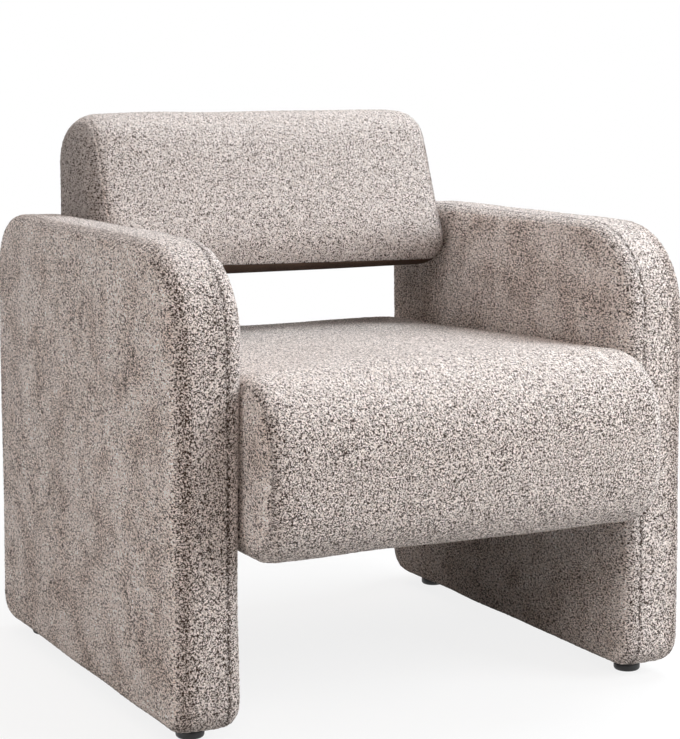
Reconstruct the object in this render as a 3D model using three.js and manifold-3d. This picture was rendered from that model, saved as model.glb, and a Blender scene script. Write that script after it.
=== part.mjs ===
// Upholstered armchair: two slab arms that reach the floor, a block seat that stands out between them,
// and a separate wedge back rest with an open gap below it.
// Millimetres, +Z up, front towards -Y, origin on the floor under the middle of the whole chair.
import * as THREE from 'three';
import { mergeVertices } from 'three/addons/utils/BufferGeometryUtils.js';
import Module from 'manifold-3d';

const wasm = await Module();
wasm.setup();

// Arms: the whole slab
const armTopHeight = 580;
const armDepth = 640;
const armThickness = 88;
const armSideCrown = 2;
const armTopFrontRadius = 108;
const armTopRearRadius = 76;
const armFootRadius = 38;
const armEdgeRadius = 19;
const innerWidth = 527;

// Seat block
const seatProudOfArms = 84;
const seatRearSetback = 20;
const seatBelowArmTop = 144;
const seatFrontThickness = 221;
const seatFall = 27;
const seatNoseTopRadius = 88;
const seatNoseFootRadius = 75;
const seatRearRadius = 25;
const seatEdgeRadius = 26;
const seatTopCrown = 5;
const seatFrontCrown = 4;

// Back rest
const backBelowArmTop = 95;
const backAboveArmTop = 132;
const backProudOfArms = 8;
const backFootDepth = 224;
const backCrestDepth = 129;
const backFrontLift = 16;
const backFootFrontRadius = 40;
const backFootRearRadius = 38;
const backCrestRearRadius = 71;
const backCrestFrontRadius = 49;
const backEndRadius = 40;
const backTopCrown = 3;
const backFrontCrown = 6;

// Upholstery layers
const coverThickness = 2;
const hemWidth = 12;
const pieceGap = 0.3;
const armRimFoam = 18;
const armSideFoam = 12;
const seatNoseFoam = 80;
const seatSideFoam = 12;
const seatRearFoam = 12;
const seatFrameLift = 12;
const seatFelt = 6;
const backEndFoam = 12;
const backRearFoam = 12;
const backTopFoam = 42;
const backFootFoam = 18;

// Arm frame
const armBoard = 9;
const armPostDepth = 40;
const armRailHeight = 40;
const armSeatRailHeight = 50;

// Seat frame and springs
const seatRailHeight = 75;
const seatRailThickness = 25;
const springCount = 4;
const springWire = 3.8;
const springSwing = 22;
const springHalfWaves = 12;
const springLanding = 10;

// Back frame and straps
const backEndBoard = 18;
const backEndBoardInset = 27;
const backRailHeight = 40;
const backRailDepth = 34;
const backPanel = 3;
const strapCount = 3;
const strapWidth = 50;
const strapThickness = 1.5;

// Bolts that join seat and back to the arms
const boltDiameter = 8;
const boltHoleClearance = 0.5;
const boltHeadDiameter = 13;
const boltHeadHeight = 8;
const boltSocketDiameter = 6;
const boltSocketDepth = 4;
const boltBite = 28;
const seatBoltFrontSetback = 90;
const seatBoltRearSetback = 80;
const backBoltEdge = 22;
const backBoltRailEdge = 11;

// Glides under the arms
const glideHeight = 15;
const glideDiameter = 34;
const glideEdgeRadius = 4;
const glideStemDiameter = 8;
const glideStemLength = 24;
const glideSetback = 62;

// Facets of the upholstered outer skins, and of the foam and inner skins, which share theirs
const fine = { arcs: 6, edges: 3, sides: 4, spans: 6 };
const coarse = { arcs: 4, edges: 2, sides: 3, spans: 4 };
const boltSides = 8;
const glideSides = 16;
const glideEdgeSteps = 2;
const springSides = 5;
const springStepsPerHalfWave = 3;

// How far out from the middle of a crowned end face each ring of points lies
const crownRingShares = [0.7, 0.35];

// Smallest round on an inner outline, and how far cutting tools run past what they cut
const tightRadius = 2;
const cutOverrun = 60;

// Places that follow from the sizes above
const overallDepth = seatProudOfArms + armDepth + backProudOfArms;
const frontY = -overallDepth / 2;
const armFrontY = frontY + seatProudOfArms;
const armRearY = armFrontY + armDepth;
const backRearY = armRearY + backProudOfArms;
const seatRearY = armRearY - seatRearSetback;
const innerHalf = innerWidth / 2;
const armCore = armThickness - armSideCrown;
const coverDepth = coverThickness + pieceGap;
const armRimDepth = coverDepth + armRimFoam + pieceGap;
const frameFloor = glideHeight + coverDepth;
const armBoardInner = coverDepth + armSideFoam + pieceGap;
const armPostInner = armBoardInner + armBoard + pieceGap;
const seatHalf = innerHalf - pieceGap;
const seatFrontTop = armTopHeight - seatBelowArmTop;
const seatRearTop = seatFrontTop - seatFall;
const seatFootZ = seatFrontTop - seatFrontThickness;
const seatFrameHalf = seatHalf - coverDepth - seatSideFoam - pieceGap;
const seatFrameFrontY = frontY + seatNoseFoam;
const seatFrameRearY = seatRearY - coverDepth - seatRearFoam - pieceGap;
const seatFrameFootZ = seatFootZ + seatFrameLift;
const seatFrameTopZ = seatFrameFootZ + seatRailHeight;
const springZ = seatFrameTopZ + pieceGap + springWire / 2;
const feltFootZ = springZ + springWire / 2 + pieceGap;
const backFootZ = armTopHeight - backBelowArmTop;
const backTopZ = armTopHeight + backAboveArmTop;
const backFootFrontY = backRearY - backFootDepth;
const backCrestFrontY = backRearY - backCrestDepth;
const backFrameHalf = innerHalf - pieceGap - coverDepth - backEndFoam - pieceGap;
const backPanelRearY = backRearY - coverDepth - backRearFoam - pieceGap;
const backRailRearY = backPanelRearY - backPanel - pieceGap;
const backRailFrontY = backRailRearY - backRailDepth;
const backFrameTopZ = backTopZ - backTopFoam;
const backFrameFootZ = backFootZ + backFootFoam;
const boltRadius = boltDiameter / 2;
const boltHoleRadius = boltRadius + boltHoleClearance;
const seatBoltZ = seatFrameFootZ + seatRailHeight / 2;
const armTopRailFootZ = armTopHeight - armRimDepth - armRailHeight;
const backBoltZ = armTopRailFootZ + armRailHeight / 2;

// Finishes
const finish = (color, roughness, metalness = 0) =>
  new THREE.MeshStandardMaterial({ color, roughness, metalness });
const boucle = finish(0xc9bdb7, 0.95);
const foam = finish(0xe6dcb8, 0.95);
const plywood = finish(0xc9a878, 0.7);
const pine = finish(0xd9bc8c, 0.75);
const felt = finish(0x8f8b86, 1);
const lining = finish(0x5f4c42, 0.9);
const strapping = finish(0x3c3a38, 0.85);
const springSteel = finish(0x6f7276, 0.4, 1);
const zincSteel = finish(0xa8abae, 0.35, 1);
const blackPlastic = finish(0x141414, 0.45);

const chair = new THREE.Group();

function addPiece(name, geometry, material) {
  const piece = new THREE.Mesh(geometry, material);
  piece.name = name;
  chair.add(piece);
}

// Boolean cuts: geometry to solid and back
function toSolid(geometry) {
  const bare = geometry.clone();
  bare.deleteAttribute('normal');
  bare.deleteAttribute('uv');
  const welded = mergeVertices(bare);
  return new wasm.Manifold(new wasm.Mesh({
    numProp: 3,
    vertProperties: new Float32Array(welded.attributes.position.array),
    triVerts: new Uint32Array(welded.index.array),
  }));
}

function toGeometry(solid) {
  const { vertProperties, triVerts } = solid.getMesh();
  const geometry = new THREE.BufferGeometry();
  geometry.setAttribute('position', new THREE.BufferAttribute(vertProperties, 3));
  geometry.setIndex(new THREE.BufferAttribute(triVerts, 1));
  geometry.computeVertexNormals();
  return geometry;
}

function cut(geometry, ...tools) {
  return toGeometry(tools.reduce((left, tool) => left.subtract(toSolid(tool)), toSolid(geometry)));
}

function common(geometry, other) {
  return toGeometry(toSolid(geometry).intersect(toSolid(other)));
}

// A box between two corners, the X limits given in either order
function box([xA, xB], [yLow, yHigh], [zLow, zHigh]) {
  const geometry = new THREE.BoxGeometry(Math.abs(xB - xA), yHigh - yLow, zHigh - zLow);
  return geometry.translate((xA + xB) / 2, (yLow + yHigh) / 2, (zLow + zHigh) / 2);
}

// Outlines lie in the Y-Z plane, as corners {y, z, r} in the order
// front foot, rear foot, rear top, front top; r is the radius of the round there
function cornerArc(corners, i) {
  const corner = new THREE.Vector2(corners[i].y, corners[i].z);
  const before = corners[(i + corners.length - 1) % corners.length];
  const after = corners[(i + 1) % corners.length];
  const toBefore = new THREE.Vector2(before.y, before.z).sub(corner).normalize();
  const toAfter = new THREE.Vector2(after.y, after.z).sub(corner).normalize();
  const halfAngle = Math.acos(toBefore.dot(toAfter)) / 2;
  const inward = toBefore.clone().add(toAfter).normalize().divideScalar(Math.sin(halfAngle));
  return {
    corner,
    inward,
    centre: corner.clone().addScaledVector(inward, corners[i].r),
    startAngle: Math.atan2(toBefore.x, -toBefore.y),
    sweep: Math.PI - 2 * halfAngle,
    radius: corners[i].r,
  };
}

// The same outline with every side moved inwards by depth
function drawnIn(corners, depth) {
  return corners.map((corner, i) => {
    const { corner: place, inward } = cornerArc(corners, i);
    const moved = place.clone().addScaledVector(inward, depth);
    return { y: moved.x, z: moved.y, r: Math.max(corner.r - depth, tightRadius) };
  });
}

// Swell of a crowned face: 1 in the middle, 0 with no slope at both ends
const swell = (share) => (1 - (2 * share - 1) ** 2) ** 2;

// Points round an outline; crowns holds how far each side swells outwards at its middle
function outlinePoints(corners, crowns, arcSteps, sideSteps) {
  const arcs = corners.map((_, i) => cornerArc(corners, i));
  return arcs.flatMap((arc, i) => {
    const next = arcs[(i + 1) % arcs.length];
    const pointAt = ({ centre, radius }, angle) => new THREE.Vector2(
      centre.x + radius * Math.cos(angle), centre.y + radius * Math.sin(angle));
    const round = Array.from({ length: arcSteps + 1 }, (_, k) =>
      pointAt(arc, arc.startAngle + (arc.sweep * k) / arcSteps));
    const outwards = arc.startAngle + arc.sweep;
    const sideEnd = pointAt(next, outwards);
    const side = Array.from({ length: sideSteps - 1 }, (_, k) => {
      const share = (k + 1) / sideSteps;
      const point = round[arcSteps].clone().lerp(sideEnd, share);
      const rise = crowns[i] * swell(share);
      return point.add(new THREE.Vector2(Math.cos(outwards), Math.sin(outwards)).multiplyScalar(rise));
    });
    return [...round, ...side];
  });
}

// A straight prism of an outline between two X limits, given in either order
function prism(corners, [xA, xB]) {
  const shape = new THREE.Shape(outlinePoints(corners, corners.map(() => 0), coarse.arcs, 1));
  const geometry = new THREE.ExtrudeGeometry(shape, { depth: Math.abs(xB - xA), bevelEnabled: false });
  geometry.applyMatrix4(new THREE.Matrix4().makeBasis(
    new THREE.Vector3(0, 1, 0), new THREE.Vector3(0, 0, 1), new THREE.Vector3(1, 0, 0)));
  return geometry.translate(Math.min(xA, xB), 0, 0);
}

// A padded block: an outline run along X with rounded ends, crowned sides and crowned end faces.
// crowns holds the swell of each side, endCrowns that of the end faces at low X and high X
function paddedBlock(corners, [xLow, xHigh], edge, facets, crowns, endCrowns) {
  const sideCrowns = crowns ?? corners.map(() => 0);
  const [lowCrown, highCrown] = endCrowns ?? [0, 0];
  const sides = crowns ? facets.sides : 1;
  const spans = crowns ? facets.spans : 1;
  const turns = Array.from({ length: facets.edges + 1 }, (_, k) => (Math.PI / 2) * (k / facets.edges));
  const roundEnd = turns.map((turn) => (
    { along: edge * (1 - Math.cos(turn)), inset: edge * (1 - Math.sin(turn)), share: 0 }));
  const middles = Array.from({ length: spans - 1 }, (_, k) => (k + 1) / spans).map((share) => (
    { x: THREE.MathUtils.lerp(xLow + edge, xHigh - edge, share), inset: 0, share: swell(share) }));
  const stations = [
    ...roundEnd.map((station) => ({ ...station, x: xLow + station.along })),
    ...middles,
    ...roundEnd.map((station) => ({ ...station, x: xHigh - station.along })).reverse(),
  ];
  const rings = stations.map(({ x, inset, share }) => outlinePoints(
    drawnIn(corners, inset), sideCrowns.map((crown) => crown * share), facets.arcs, sides)
    .map((point) => new THREE.Vector3(x, point.x, point.y)));
  const middleOf = (ring) => ring.reduce((sum, point) => sum.add(point), new THREE.Vector3())
    .divideScalar(ring.length);
  const faceRings = (ring, crown) => (crown === 0 ? [] : crownRingShares.map((ringShare) => ring.map((point) =>
    middleOf(ring).lerp(point, ringShare).add(new THREE.Vector3(crown * swell((1 + ringShare) / 2), 0, 0)))));
  const first = rings[0];
  const last = rings[rings.length - 1];
  const lowMiddle = middleOf(first).add(new THREE.Vector3(-lowCrown, 0, 0));
  const highMiddle = middleOf(last).add(new THREE.Vector3(highCrown, 0, 0));
  return skin([...faceRings(first, -lowCrown).reverse(), ...rings, ...faceRings(last, highCrown)],
    lowMiddle, highMiddle);
}

// A closed skin over rings of points, with a fan to a middle point at each end
function skin(rings, lowMiddle, highMiddle) {
  const count = rings[0].length;
  const points = [...rings.flat(), lowMiddle, highMiddle];
  const lowIndex = points.length - 2;
  const highIndex = points.length - 1;
  const faces = [];
  rings.slice(1).forEach((_, r) => {
    for (let i = 0; i < count; i += 1) {
      const [a, b] = [r * count + i, r * count + ((i + 1) % count)];
      faces.push(a, a + count, b, b, a + count, b + count);
    }
  });
  for (let i = 0; i < count; i += 1) {
    const after = (i + 1) % count;
    const start = (rings.length - 1) * count;
    faces.push(lowIndex, i, after, highIndex, start + after, start + i);
  }
  const geometry = new THREE.BufferGeometry().setFromPoints(points);
  geometry.setIndex(faces);
  return facingOut(geometry);
}

// Turns the faces over when the enclosed volume comes out negative
function facingOut(geometry) {
  const { position } = geometry.attributes;
  const index = Array.from(geometry.index.array);
  const [a, b, c] = [new THREE.Vector3(), new THREE.Vector3(), new THREE.Vector3()];
  let volume = 0;
  for (let i = 0; i < index.length; i += 3) {
    [a, b, c].forEach((corner, k) => corner.fromBufferAttribute(position, index[i + k]));
    volume += a.dot(b.cross(c));
  }
  if (volume < 0) index.reverse();
  geometry.setIndex(index);
  geometry.computeVertexNormals();
  return geometry;
}

// A turned piece about an axis along X, its profile given as [distance along, radius]
function turnedAlongX(profile, sides, side, [x, y, z]) {
  const geometry = new THREE.LatheGeometry(
    profile.map(([along, radius]) => new THREE.Vector2(radius, along)), sides);
  geometry.rotateZ(side > 0 ? -Math.PI / 2 : Math.PI / 2);
  return geometry.translate(x, y, z);
}

function holeAlongX([xA, xB], y, z, radius) {
  const geometry = new THREE.CylinderGeometry(radius, radius, Math.abs(xB - xA), boltSides);
  return geometry.rotateZ(Math.PI / 2).translate((xA + xB) / 2, y, z);
}

// Outlines of the three upholstered blocks
const armOutline = [
  { y: armFrontY, z: glideHeight, r: armFootRadius },
  { y: armRearY, z: glideHeight, r: armFootRadius },
  { y: armRearY, z: armTopHeight, r: armTopRearRadius },
  { y: armFrontY, z: armTopHeight, r: armTopFrontRadius },
];
const seatOutline = [
  { y: frontY + seatFrontCrown, z: seatFootZ, r: seatNoseFootRadius },
  { y: seatRearY, z: seatFootZ, r: seatRearRadius },
  { y: seatRearY, z: seatRearTop, r: seatRearRadius },
  { y: frontY + seatFrontCrown, z: seatFrontTop, r: seatNoseTopRadius },
];
const backOutline = [
  { y: backFootFrontY, z: backFootZ + backFrontLift, r: backFootFrontRadius },
  { y: backRearY, z: backFootZ, r: backFootRearRadius },
  { y: backRearY, z: backTopZ, r: backCrestRearRadius },
  { y: backCrestFrontY, z: backTopZ, r: backCrestFrontRadius },
];

// The timber frame of an arm lies this far inside the arm's outline
const armFrameOutline = drawnIn(armOutline, armRimDepth).map((corner, i) =>
  (i < 2 ? { ...corner, z: frameFloor } : corner));
// Boards and side foam end above the rounded lower edge of the cover
const armBoardOutline = armFrameOutline.map((corner, i) =>
  (i < 2 ? { ...corner, z: glideHeight + armEdgeRadius } : corner));
const armFrameFrontY = armFrontY + armRimDepth;
const armFrameRearY = armRearY - armRimDepth;
const armFrameTopZ = armTopHeight - armRimDepth;

// Bolt places along Y
const seatBoltYs = { front: seatFrameFrontY + seatBoltFrontSetback, rear: seatFrameRearY - seatBoltRearSetback };
const backFaceYAt = (z) => THREE.MathUtils.mapLinear(
  z, backFootZ + backFrontLift, backTopZ, backFootFrontY, backCrestFrontY);
const backBoltYs = {
  front: backFaceYAt(backBoltZ) + backEndBoardInset + backBoltEdge,
  rear: armFrameRearY - armPostDepth - backBoltRailEdge,
};
const boltPlaces = [
  ...Object.values(seatBoltYs).map((y) => ({ y, z: seatBoltZ })),
  ...Object.values(backBoltYs).map((y) => ({ y, z: backBoltZ })),
];

// X limits of a layer of an arm, from the arm's inner face outwards
const acrossArm = (side, near, far) => [side * (innerHalf + near), side * (innerHalf + far)];

const boltHoles = (side, places) => places.map(({ y, z }) => holeAlongX(
  [side * (innerHalf - cutOverrun), side * (innerHalf + armPostInner + boltBite + boltHoleClearance)],
  y, z, boltHoleRadius));

const atSeat = boltPlaces.filter(({ z }) => z === seatBoltZ);
const atBack = boltPlaces.filter(({ z }) => z === backBoltZ);

function armCover(side) {
  const lower = innerHalf;
  const upper = innerHalf + armCore;
  const limits = side > 0 ? [lower, upper] : [-upper, -lower];
  const endCrowns = side > 0 ? [0, armSideCrown] : [armSideCrown, 0];
  const outer = paddedBlock(armOutline, limits, armEdgeRadius, fine, null, endCrowns);
  const inside = paddedBlock(drawnIn(armOutline, coverThickness),
    [limits[0] + coverThickness, limits[1] - coverThickness], armEdgeRadius - coverThickness, coarse);
  const opening = box(acrossArm(side, armMouthInset, armCore - armMouthInset),
    armMouthY, [0, glideHeight + coverThickness + pieceGap]);
  return cut(outer, inside, opening, ...boltHoles(side, boltPlaces));
}

// The mouth in the underside of an arm cover, closed by the base cloth
const armMouthInset = armEdgeRadius + hemWidth / 2;
const armMouthY = [armFrontY + armFootRadius + hemWidth, armRearY - armFootRadius - hemWidth];

function armRimPad(side) {
  const block = paddedBlock(drawnIn(armOutline, coverDepth),
    side > 0 ? acrossArm(side, coverDepth, armCore - coverDepth) : acrossArm(side, armCore - coverDepth, coverDepth),
    armEdgeRadius - coverDepth, coarse);
  const lowered = drawnIn(armOutline, armRimDepth - pieceGap).map((corner, i) =>
    (i < 2 ? { ...corner, z: frameFloor - cutOverrun } : corner));
  return cut(block, prism(lowered, acrossArm(side, 0, armCore)));
}

const armSheet = (side, near, thickness) =>
  prism(armBoardOutline, acrossArm(side, near, near + thickness));

const armMember = (side, yLimits, zLimits) => common(
  prism(armFrameOutline, acrossArm(side, armPostInner, armCore - armPostInner)),
  box(acrossArm(side, 0, armCore), yLimits, zLimits));

function armBaseCloth(side) {
  const cloth = box(
    acrossArm(side, armMouthInset + pieceGap, armCore - armMouthInset - pieceGap),
    [armMouthY[0] + pieceGap, armMouthY[1] - pieceGap], [glideHeight, glideHeight + coverThickness]);
  return cut(cloth, ...glideYs.map((y) => stemHole(side, y)));
}

const glideYs = [armFrontY + glideSetback, armRearY - glideSetback];
const armMidX = (side) => side * (innerHalf + armCore / 2);

function stemHole(side, y) {
  const radius = glideStemDiameter / 2 + boltHoleClearance;
  const hole = new THREE.CylinderGeometry(radius, radius, 2 * (glideStemLength + pieceGap), glideSides);
  return hole.rotateX(Math.PI / 2).translate(armMidX(side), y, glideHeight);
}

function glide(side, y) {
  const radius = glideDiameter / 2;
  const topZ = glideHeight - pieceGap;
  const stem = glideStemDiameter / 2;
  const edge = Array.from({ length: glideEdgeSteps + 1 }, (_, k) => {
    const turn = (Math.PI / 2) * (k / glideEdgeSteps);
    return [radius - glideEdgeRadius * (1 - Math.sin(turn)), glideEdgeRadius * (1 - Math.cos(turn))];
  });
  const profile = [[0, 0], ...edge, [radius, topZ], [stem, topZ],
    [stem, glideHeight + glideStemLength], [0, glideHeight + glideStemLength]];
  const geometry = new THREE.LatheGeometry(profile.map(([r, z]) => new THREE.Vector2(r, z)), glideSides);
  return geometry.rotateX(Math.PI / 2).translate(armMidX(side), y, 0);
}

function bolt(side, headX, { y, z }) {
  const tip = innerHalf + armPostInner + boltBite - headX;
  const socket = boltSocketDiameter / 2;
  const profile = [
    [boltSocketDepth - boltHeadHeight, 0], [boltSocketDepth - boltHeadHeight, socket],
    [-boltHeadHeight, socket], [-boltHeadHeight, boltHeadDiameter / 2], [0, boltHeadDiameter / 2],
    [0, boltRadius], [tip - boltRadius / 2, boltRadius], [tip, boltRadius / 2], [tip, 0],
  ];
  return turnedAlongX(profile, boltSides, side, [side * headX, y, z]);
}

function addArm(side, hand) {
  addPiece(`${hand}_arm_cover`, armCover(side), boucle);
  addPiece(`${hand}_arm_rim_foam`, armRimPad(side), foam);
  const holes = boltHoles(side, boltPlaces);
  addPiece(`${hand}_arm_inner_foam`, cut(armSheet(side, coverDepth, armSideFoam), ...holes), foam);
  addPiece(`${hand}_arm_outer_foam`, armSheet(side, armCore - coverDepth - armSideFoam, armSideFoam), foam);
  addPiece(`${hand}_arm_inner_board`, cut(armSheet(side, armBoardInner, armBoard), ...holes), plywood);
  addPiece(`${hand}_arm_outer_board`, armSheet(side, armCore - armBoardInner - armBoard, armBoard), plywood);

  const bottomRailTopZ = frameFloor + armRailHeight;
  const postZ = [bottomRailTopZ + pieceGap, armTopHeight];
  const betweenPosts = [armFrameFrontY + armPostDepth + pieceGap, armFrameRearY - armPostDepth - pieceGap];
  const stems = glideYs.map((y) => stemHole(side, y));
  addPiece(`${hand}_arm_front_post`,
    armMember(side, [armFrameFrontY - cutOverrun, armFrameFrontY + armPostDepth], postZ), pine);
  addPiece(`${hand}_arm_rear_post`,
    armMember(side, [armFrameRearY - armPostDepth, armFrameRearY + cutOverrun], postZ), pine);
  addPiece(`${hand}_arm_bottom_rail`, cut(armMember(side,
    [armFrameFrontY - cutOverrun, armFrameRearY + cutOverrun], [0, bottomRailTopZ]), ...stems), pine);
  addPiece(`${hand}_arm_top_rail`, cut(armMember(side, betweenPosts, [armTopRailFootZ, armTopHeight]),
    ...boltHoles(side, atBack)), pine);
  const seatRailZ = [seatBoltZ - armSeatRailHeight / 2, seatBoltZ + armSeatRailHeight / 2];
  addPiece(`${hand}_arm_seat_rail`, cut(armMember(side, betweenPosts, seatRailZ),
    ...boltHoles(side, atSeat)), pine);

  addPiece(`${hand}_arm_base_cloth`, armBaseCloth(side), lining);
  addPiece(`${hand}_front_glide`, glide(side, glideYs[0]), blackPlastic);
  addPiece(`${hand}_rear_glide`, glide(side, glideYs[1]), blackPlastic);
  const seatHeadX = seatFrameHalf - seatRailThickness - pieceGap;
  const backHeadX = backFrameHalf - backEndBoard - pieceGap;
  addPiece(`${hand}_seat_bolt_front`, bolt(side, seatHeadX, { y: seatBoltYs.front, z: seatBoltZ }), zincSteel);
  addPiece(`${hand}_seat_bolt_rear`, bolt(side, seatHeadX, { y: seatBoltYs.rear, z: seatBoltZ }), zincSteel);
  addPiece(`${hand}_back_bolt_front`, bolt(side, backHeadX, { y: backBoltYs.front, z: backBoltZ }), zincSteel);
  addPiece(`${hand}_back_bolt_rear`, bolt(side, backHeadX, { y: backBoltYs.rear, z: backBoltZ }), zincSteel);
}

// Seat
const seatCrowns = [0, 0, seatTopCrown, seatFrontCrown];
const seatMouthHalf = seatHalf - seatEdgeRadius - hemWidth;
const seatMouthY = [seatFrameFrontY + hemWidth, seatFrameRearY - seatRearRadius];
const bothSides = [-1, 1];

function seatCover() {
  const outer = paddedBlock(seatOutline, [-seatHalf, seatHalf], seatEdgeRadius, fine, seatCrowns);
  const inner = seatHalf - coverThickness;
  const inside = paddedBlock(drawnIn(seatOutline, coverThickness), [-inner, inner],
    seatEdgeRadius - coverThickness, coarse, seatCrowns);
  const mouth = box([-seatMouthHalf, seatMouthHalf], seatMouthY, [seatFootZ - cutOverrun, seatFrameFootZ]);
  return cut(outer, inside, mouth, ...bothSides.flatMap((side) => boltHoles(side, atSeat)));
}

function seatFoam() {
  const outer = seatHalf - coverDepth;
  const block = paddedBlock(drawnIn(seatOutline, coverDepth), [-outer, outer],
    seatEdgeRadius - coverDepth, coarse, seatCrowns);
  const hollowHalf = seatFrameHalf + pieceGap;
  const hollow = box([-hollowHalf, hollowHalf],
    [seatFrameFrontY - pieceGap, seatFrameRearY + pieceGap],
    [seatFootZ - cutOverrun, feltFootZ + seatFelt + pieceGap]);
  return cut(block, hollow, ...bothSides.flatMap((side) => boltHoles(side, atSeat)));
}

function seatSideRail(side) {
  const rail = box([side * (seatFrameHalf - seatRailThickness), side * seatFrameHalf],
    [seatFrameFrontY, seatFrameRearY], [seatFrameFootZ, seatFrameTopZ]);
  return cut(rail, ...boltHoles(side, atSeat));
}

const seatCrossRail = (yLimits) => {
  const half = seatFrameHalf - seatRailThickness - pieceGap;
  return box([-half, half], yLimits, [seatFrameFootZ, seatFrameTopZ]);
};

// A zigzag spring that runs from the front rail to the rear rail and lies on both
function zigzagSpring(x) {
  const [start, end] = [seatFrameFrontY + springLanding, seatFrameRearY - springLanding];
  const path = new THREE.Curve();
  path.getPoint = (share) => new THREE.Vector3(
    x + springSwing * Math.sin(Math.PI * springHalfWaves * share), THREE.MathUtils.lerp(start, end, share), springZ);
  const section = new THREE.Shape(Array.from({ length: springSides }, (_, k) => new THREE.Vector2(
    (springWire / 2) * Math.cos((2 * Math.PI * k) / springSides),
    (springWire / 2) * Math.sin((2 * Math.PI * k) / springSides))));
  return new THREE.ExtrudeGeometry(section, { steps: springHalfWaves * springStepsPerHalfWave, extrudePath: path });
}

function addSeat() {
  addPiece('seat_cover', seatCover(), boucle);
  addPiece('seat_foam', seatFoam(), foam);
  addPiece('seat_felt', box([-seatFrameHalf, seatFrameHalf], [seatFrameFrontY, seatFrameRearY],
    [feltFootZ, feltFootZ + seatFelt]), felt);
  addPiece('seat_left_rail', seatSideRail(-1), pine);
  addPiece('seat_right_rail', seatSideRail(1), pine);
  addPiece('seat_front_rail', seatCrossRail([seatFrameFrontY, seatFrameFrontY + seatRailThickness]), pine);
  addPiece('seat_rear_rail', seatCrossRail([seatFrameRearY - seatRailThickness, seatFrameRearY]), pine);
  const pitch = (2 * (seatFrameHalf - seatRailThickness)) / springCount;
  for (let k = 0; k < springCount; k += 1) {
    const x = pitch * (k - (springCount - 1) / 2);
    addPiece(`seat_spring_${k + 1}`, zigzagSpring(x), springSteel);
  }
  const clothHalf = seatMouthHalf - pieceGap;
  addPiece('seat_base_cloth', box([-clothHalf, clothHalf],
    [seatMouthY[0] + pieceGap, seatMouthY[1] - pieceGap], [seatFootZ, seatFootZ + coverThickness]), lining);
}

// Back rest
const backCrowns = [0, 0, backTopCrown, backFrontCrown];
const backHalf = innerHalf - pieceGap;
const backMouthHalf = backHalf - backEndRadius - hemWidth;
const backFootSlope = backFrontLift / backFootDepth;
const backFootZAt = (y) => backFootZ + (backRearY - y) * backFootSlope;
const backMouthY = [backFootFrontY + 2 * backFootFrontRadius, backRearY - backFootRearRadius - hemWidth];

// A slab that follows the sloping underside of the back rest, between two depths above it
function backFootSlab(half, [yLow, yHigh], [low, high]) {
  const points = [[yLow, low], [yHigh, low], [yHigh, high], [yLow, high]];
  const shape = new THREE.Shape(points.map(([y, rise]) => new THREE.Vector2(y, backFootZAt(y) + rise)));
  const geometry = new THREE.ExtrudeGeometry(shape, { depth: 2 * half, bevelEnabled: false });
  geometry.applyMatrix4(new THREE.Matrix4().makeBasis(
    new THREE.Vector3(0, 1, 0), new THREE.Vector3(0, 0, 1), new THREE.Vector3(1, 0, 0)));
  return geometry.translate(-half, 0, 0);
}

function backCover() {
  const outer = paddedBlock(backOutline, [-backHalf, backHalf], backEndRadius, fine, backCrowns);
  const inner = backHalf - coverThickness;
  const inside = paddedBlock(drawnIn(backOutline, coverThickness), [-inner, inner],
    backEndRadius - coverThickness, coarse, backCrowns);
  const mouth = backFootSlab(backMouthHalf, backMouthY, [-cutOverrun, coverDepth]);
  return cut(outer, inside, mouth, ...bothSides.flatMap((side) => boltHoles(side, atBack)));
}

const endBoardX = (side) => [side * (backFrameHalf - backEndBoard), side * backFrameHalf];

function backFoam() {
  const outer = backHalf - coverDepth;
  const block = paddedBlock(drawnIn(backOutline, coverDepth), [-outer, outer],
    backEndRadius - coverDepth, coarse, backCrowns);
  const railHalf = backFrameHalf - backEndBoard;
  const strapSpace = strapThickness + 2 * pieceGap;
  const railHollow = box([-railHalf, railHalf], [backRailFrontY - strapSpace, backPanelRearY + pieceGap],
    [backFootZ - cutOverrun, backFrameTopZ + pieceGap]);
  const boardHollows = bothSides.map((side) => prism(drawnIn(backOutline, backEndBoardInset - pieceGap),
    [side * (backFrameHalf - backEndBoard - pieceGap), side * (backFrameHalf + pieceGap)]));
  const headHollows = bothSides.flatMap((side) => atBack.map(({ y, z }) => holeAlongX(
    [side * (railHalf - boltHeadHeight - 2 * pieceGap), side * railHalf], y, z,
    boltHeadDiameter / 2 + boltHoleClearance)));
  return cut(block, railHollow, ...boardHollows, ...headHollows,
    ...bothSides.flatMap((side) => endHoles(side)));
}

// Bolt holes through the foam between the end board and the cover only
const endHoles = (side) => atBack.map(({ y, z }) => holeAlongX(
  [side * backFrameHalf, side * innerHalf], y, z, boltHoleRadius));

const backEndPlate = (side) => cut(
  prism(drawnIn(backOutline, backEndBoardInset), endBoardX(side)), ...boltHoles(side, atBack));

const backRail = (zLimits) => {
  const half = backFrameHalf - backEndBoard - pieceGap;
  return box([-half, half], [backRailFrontY, backRailRearY], zLimits);
};

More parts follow.
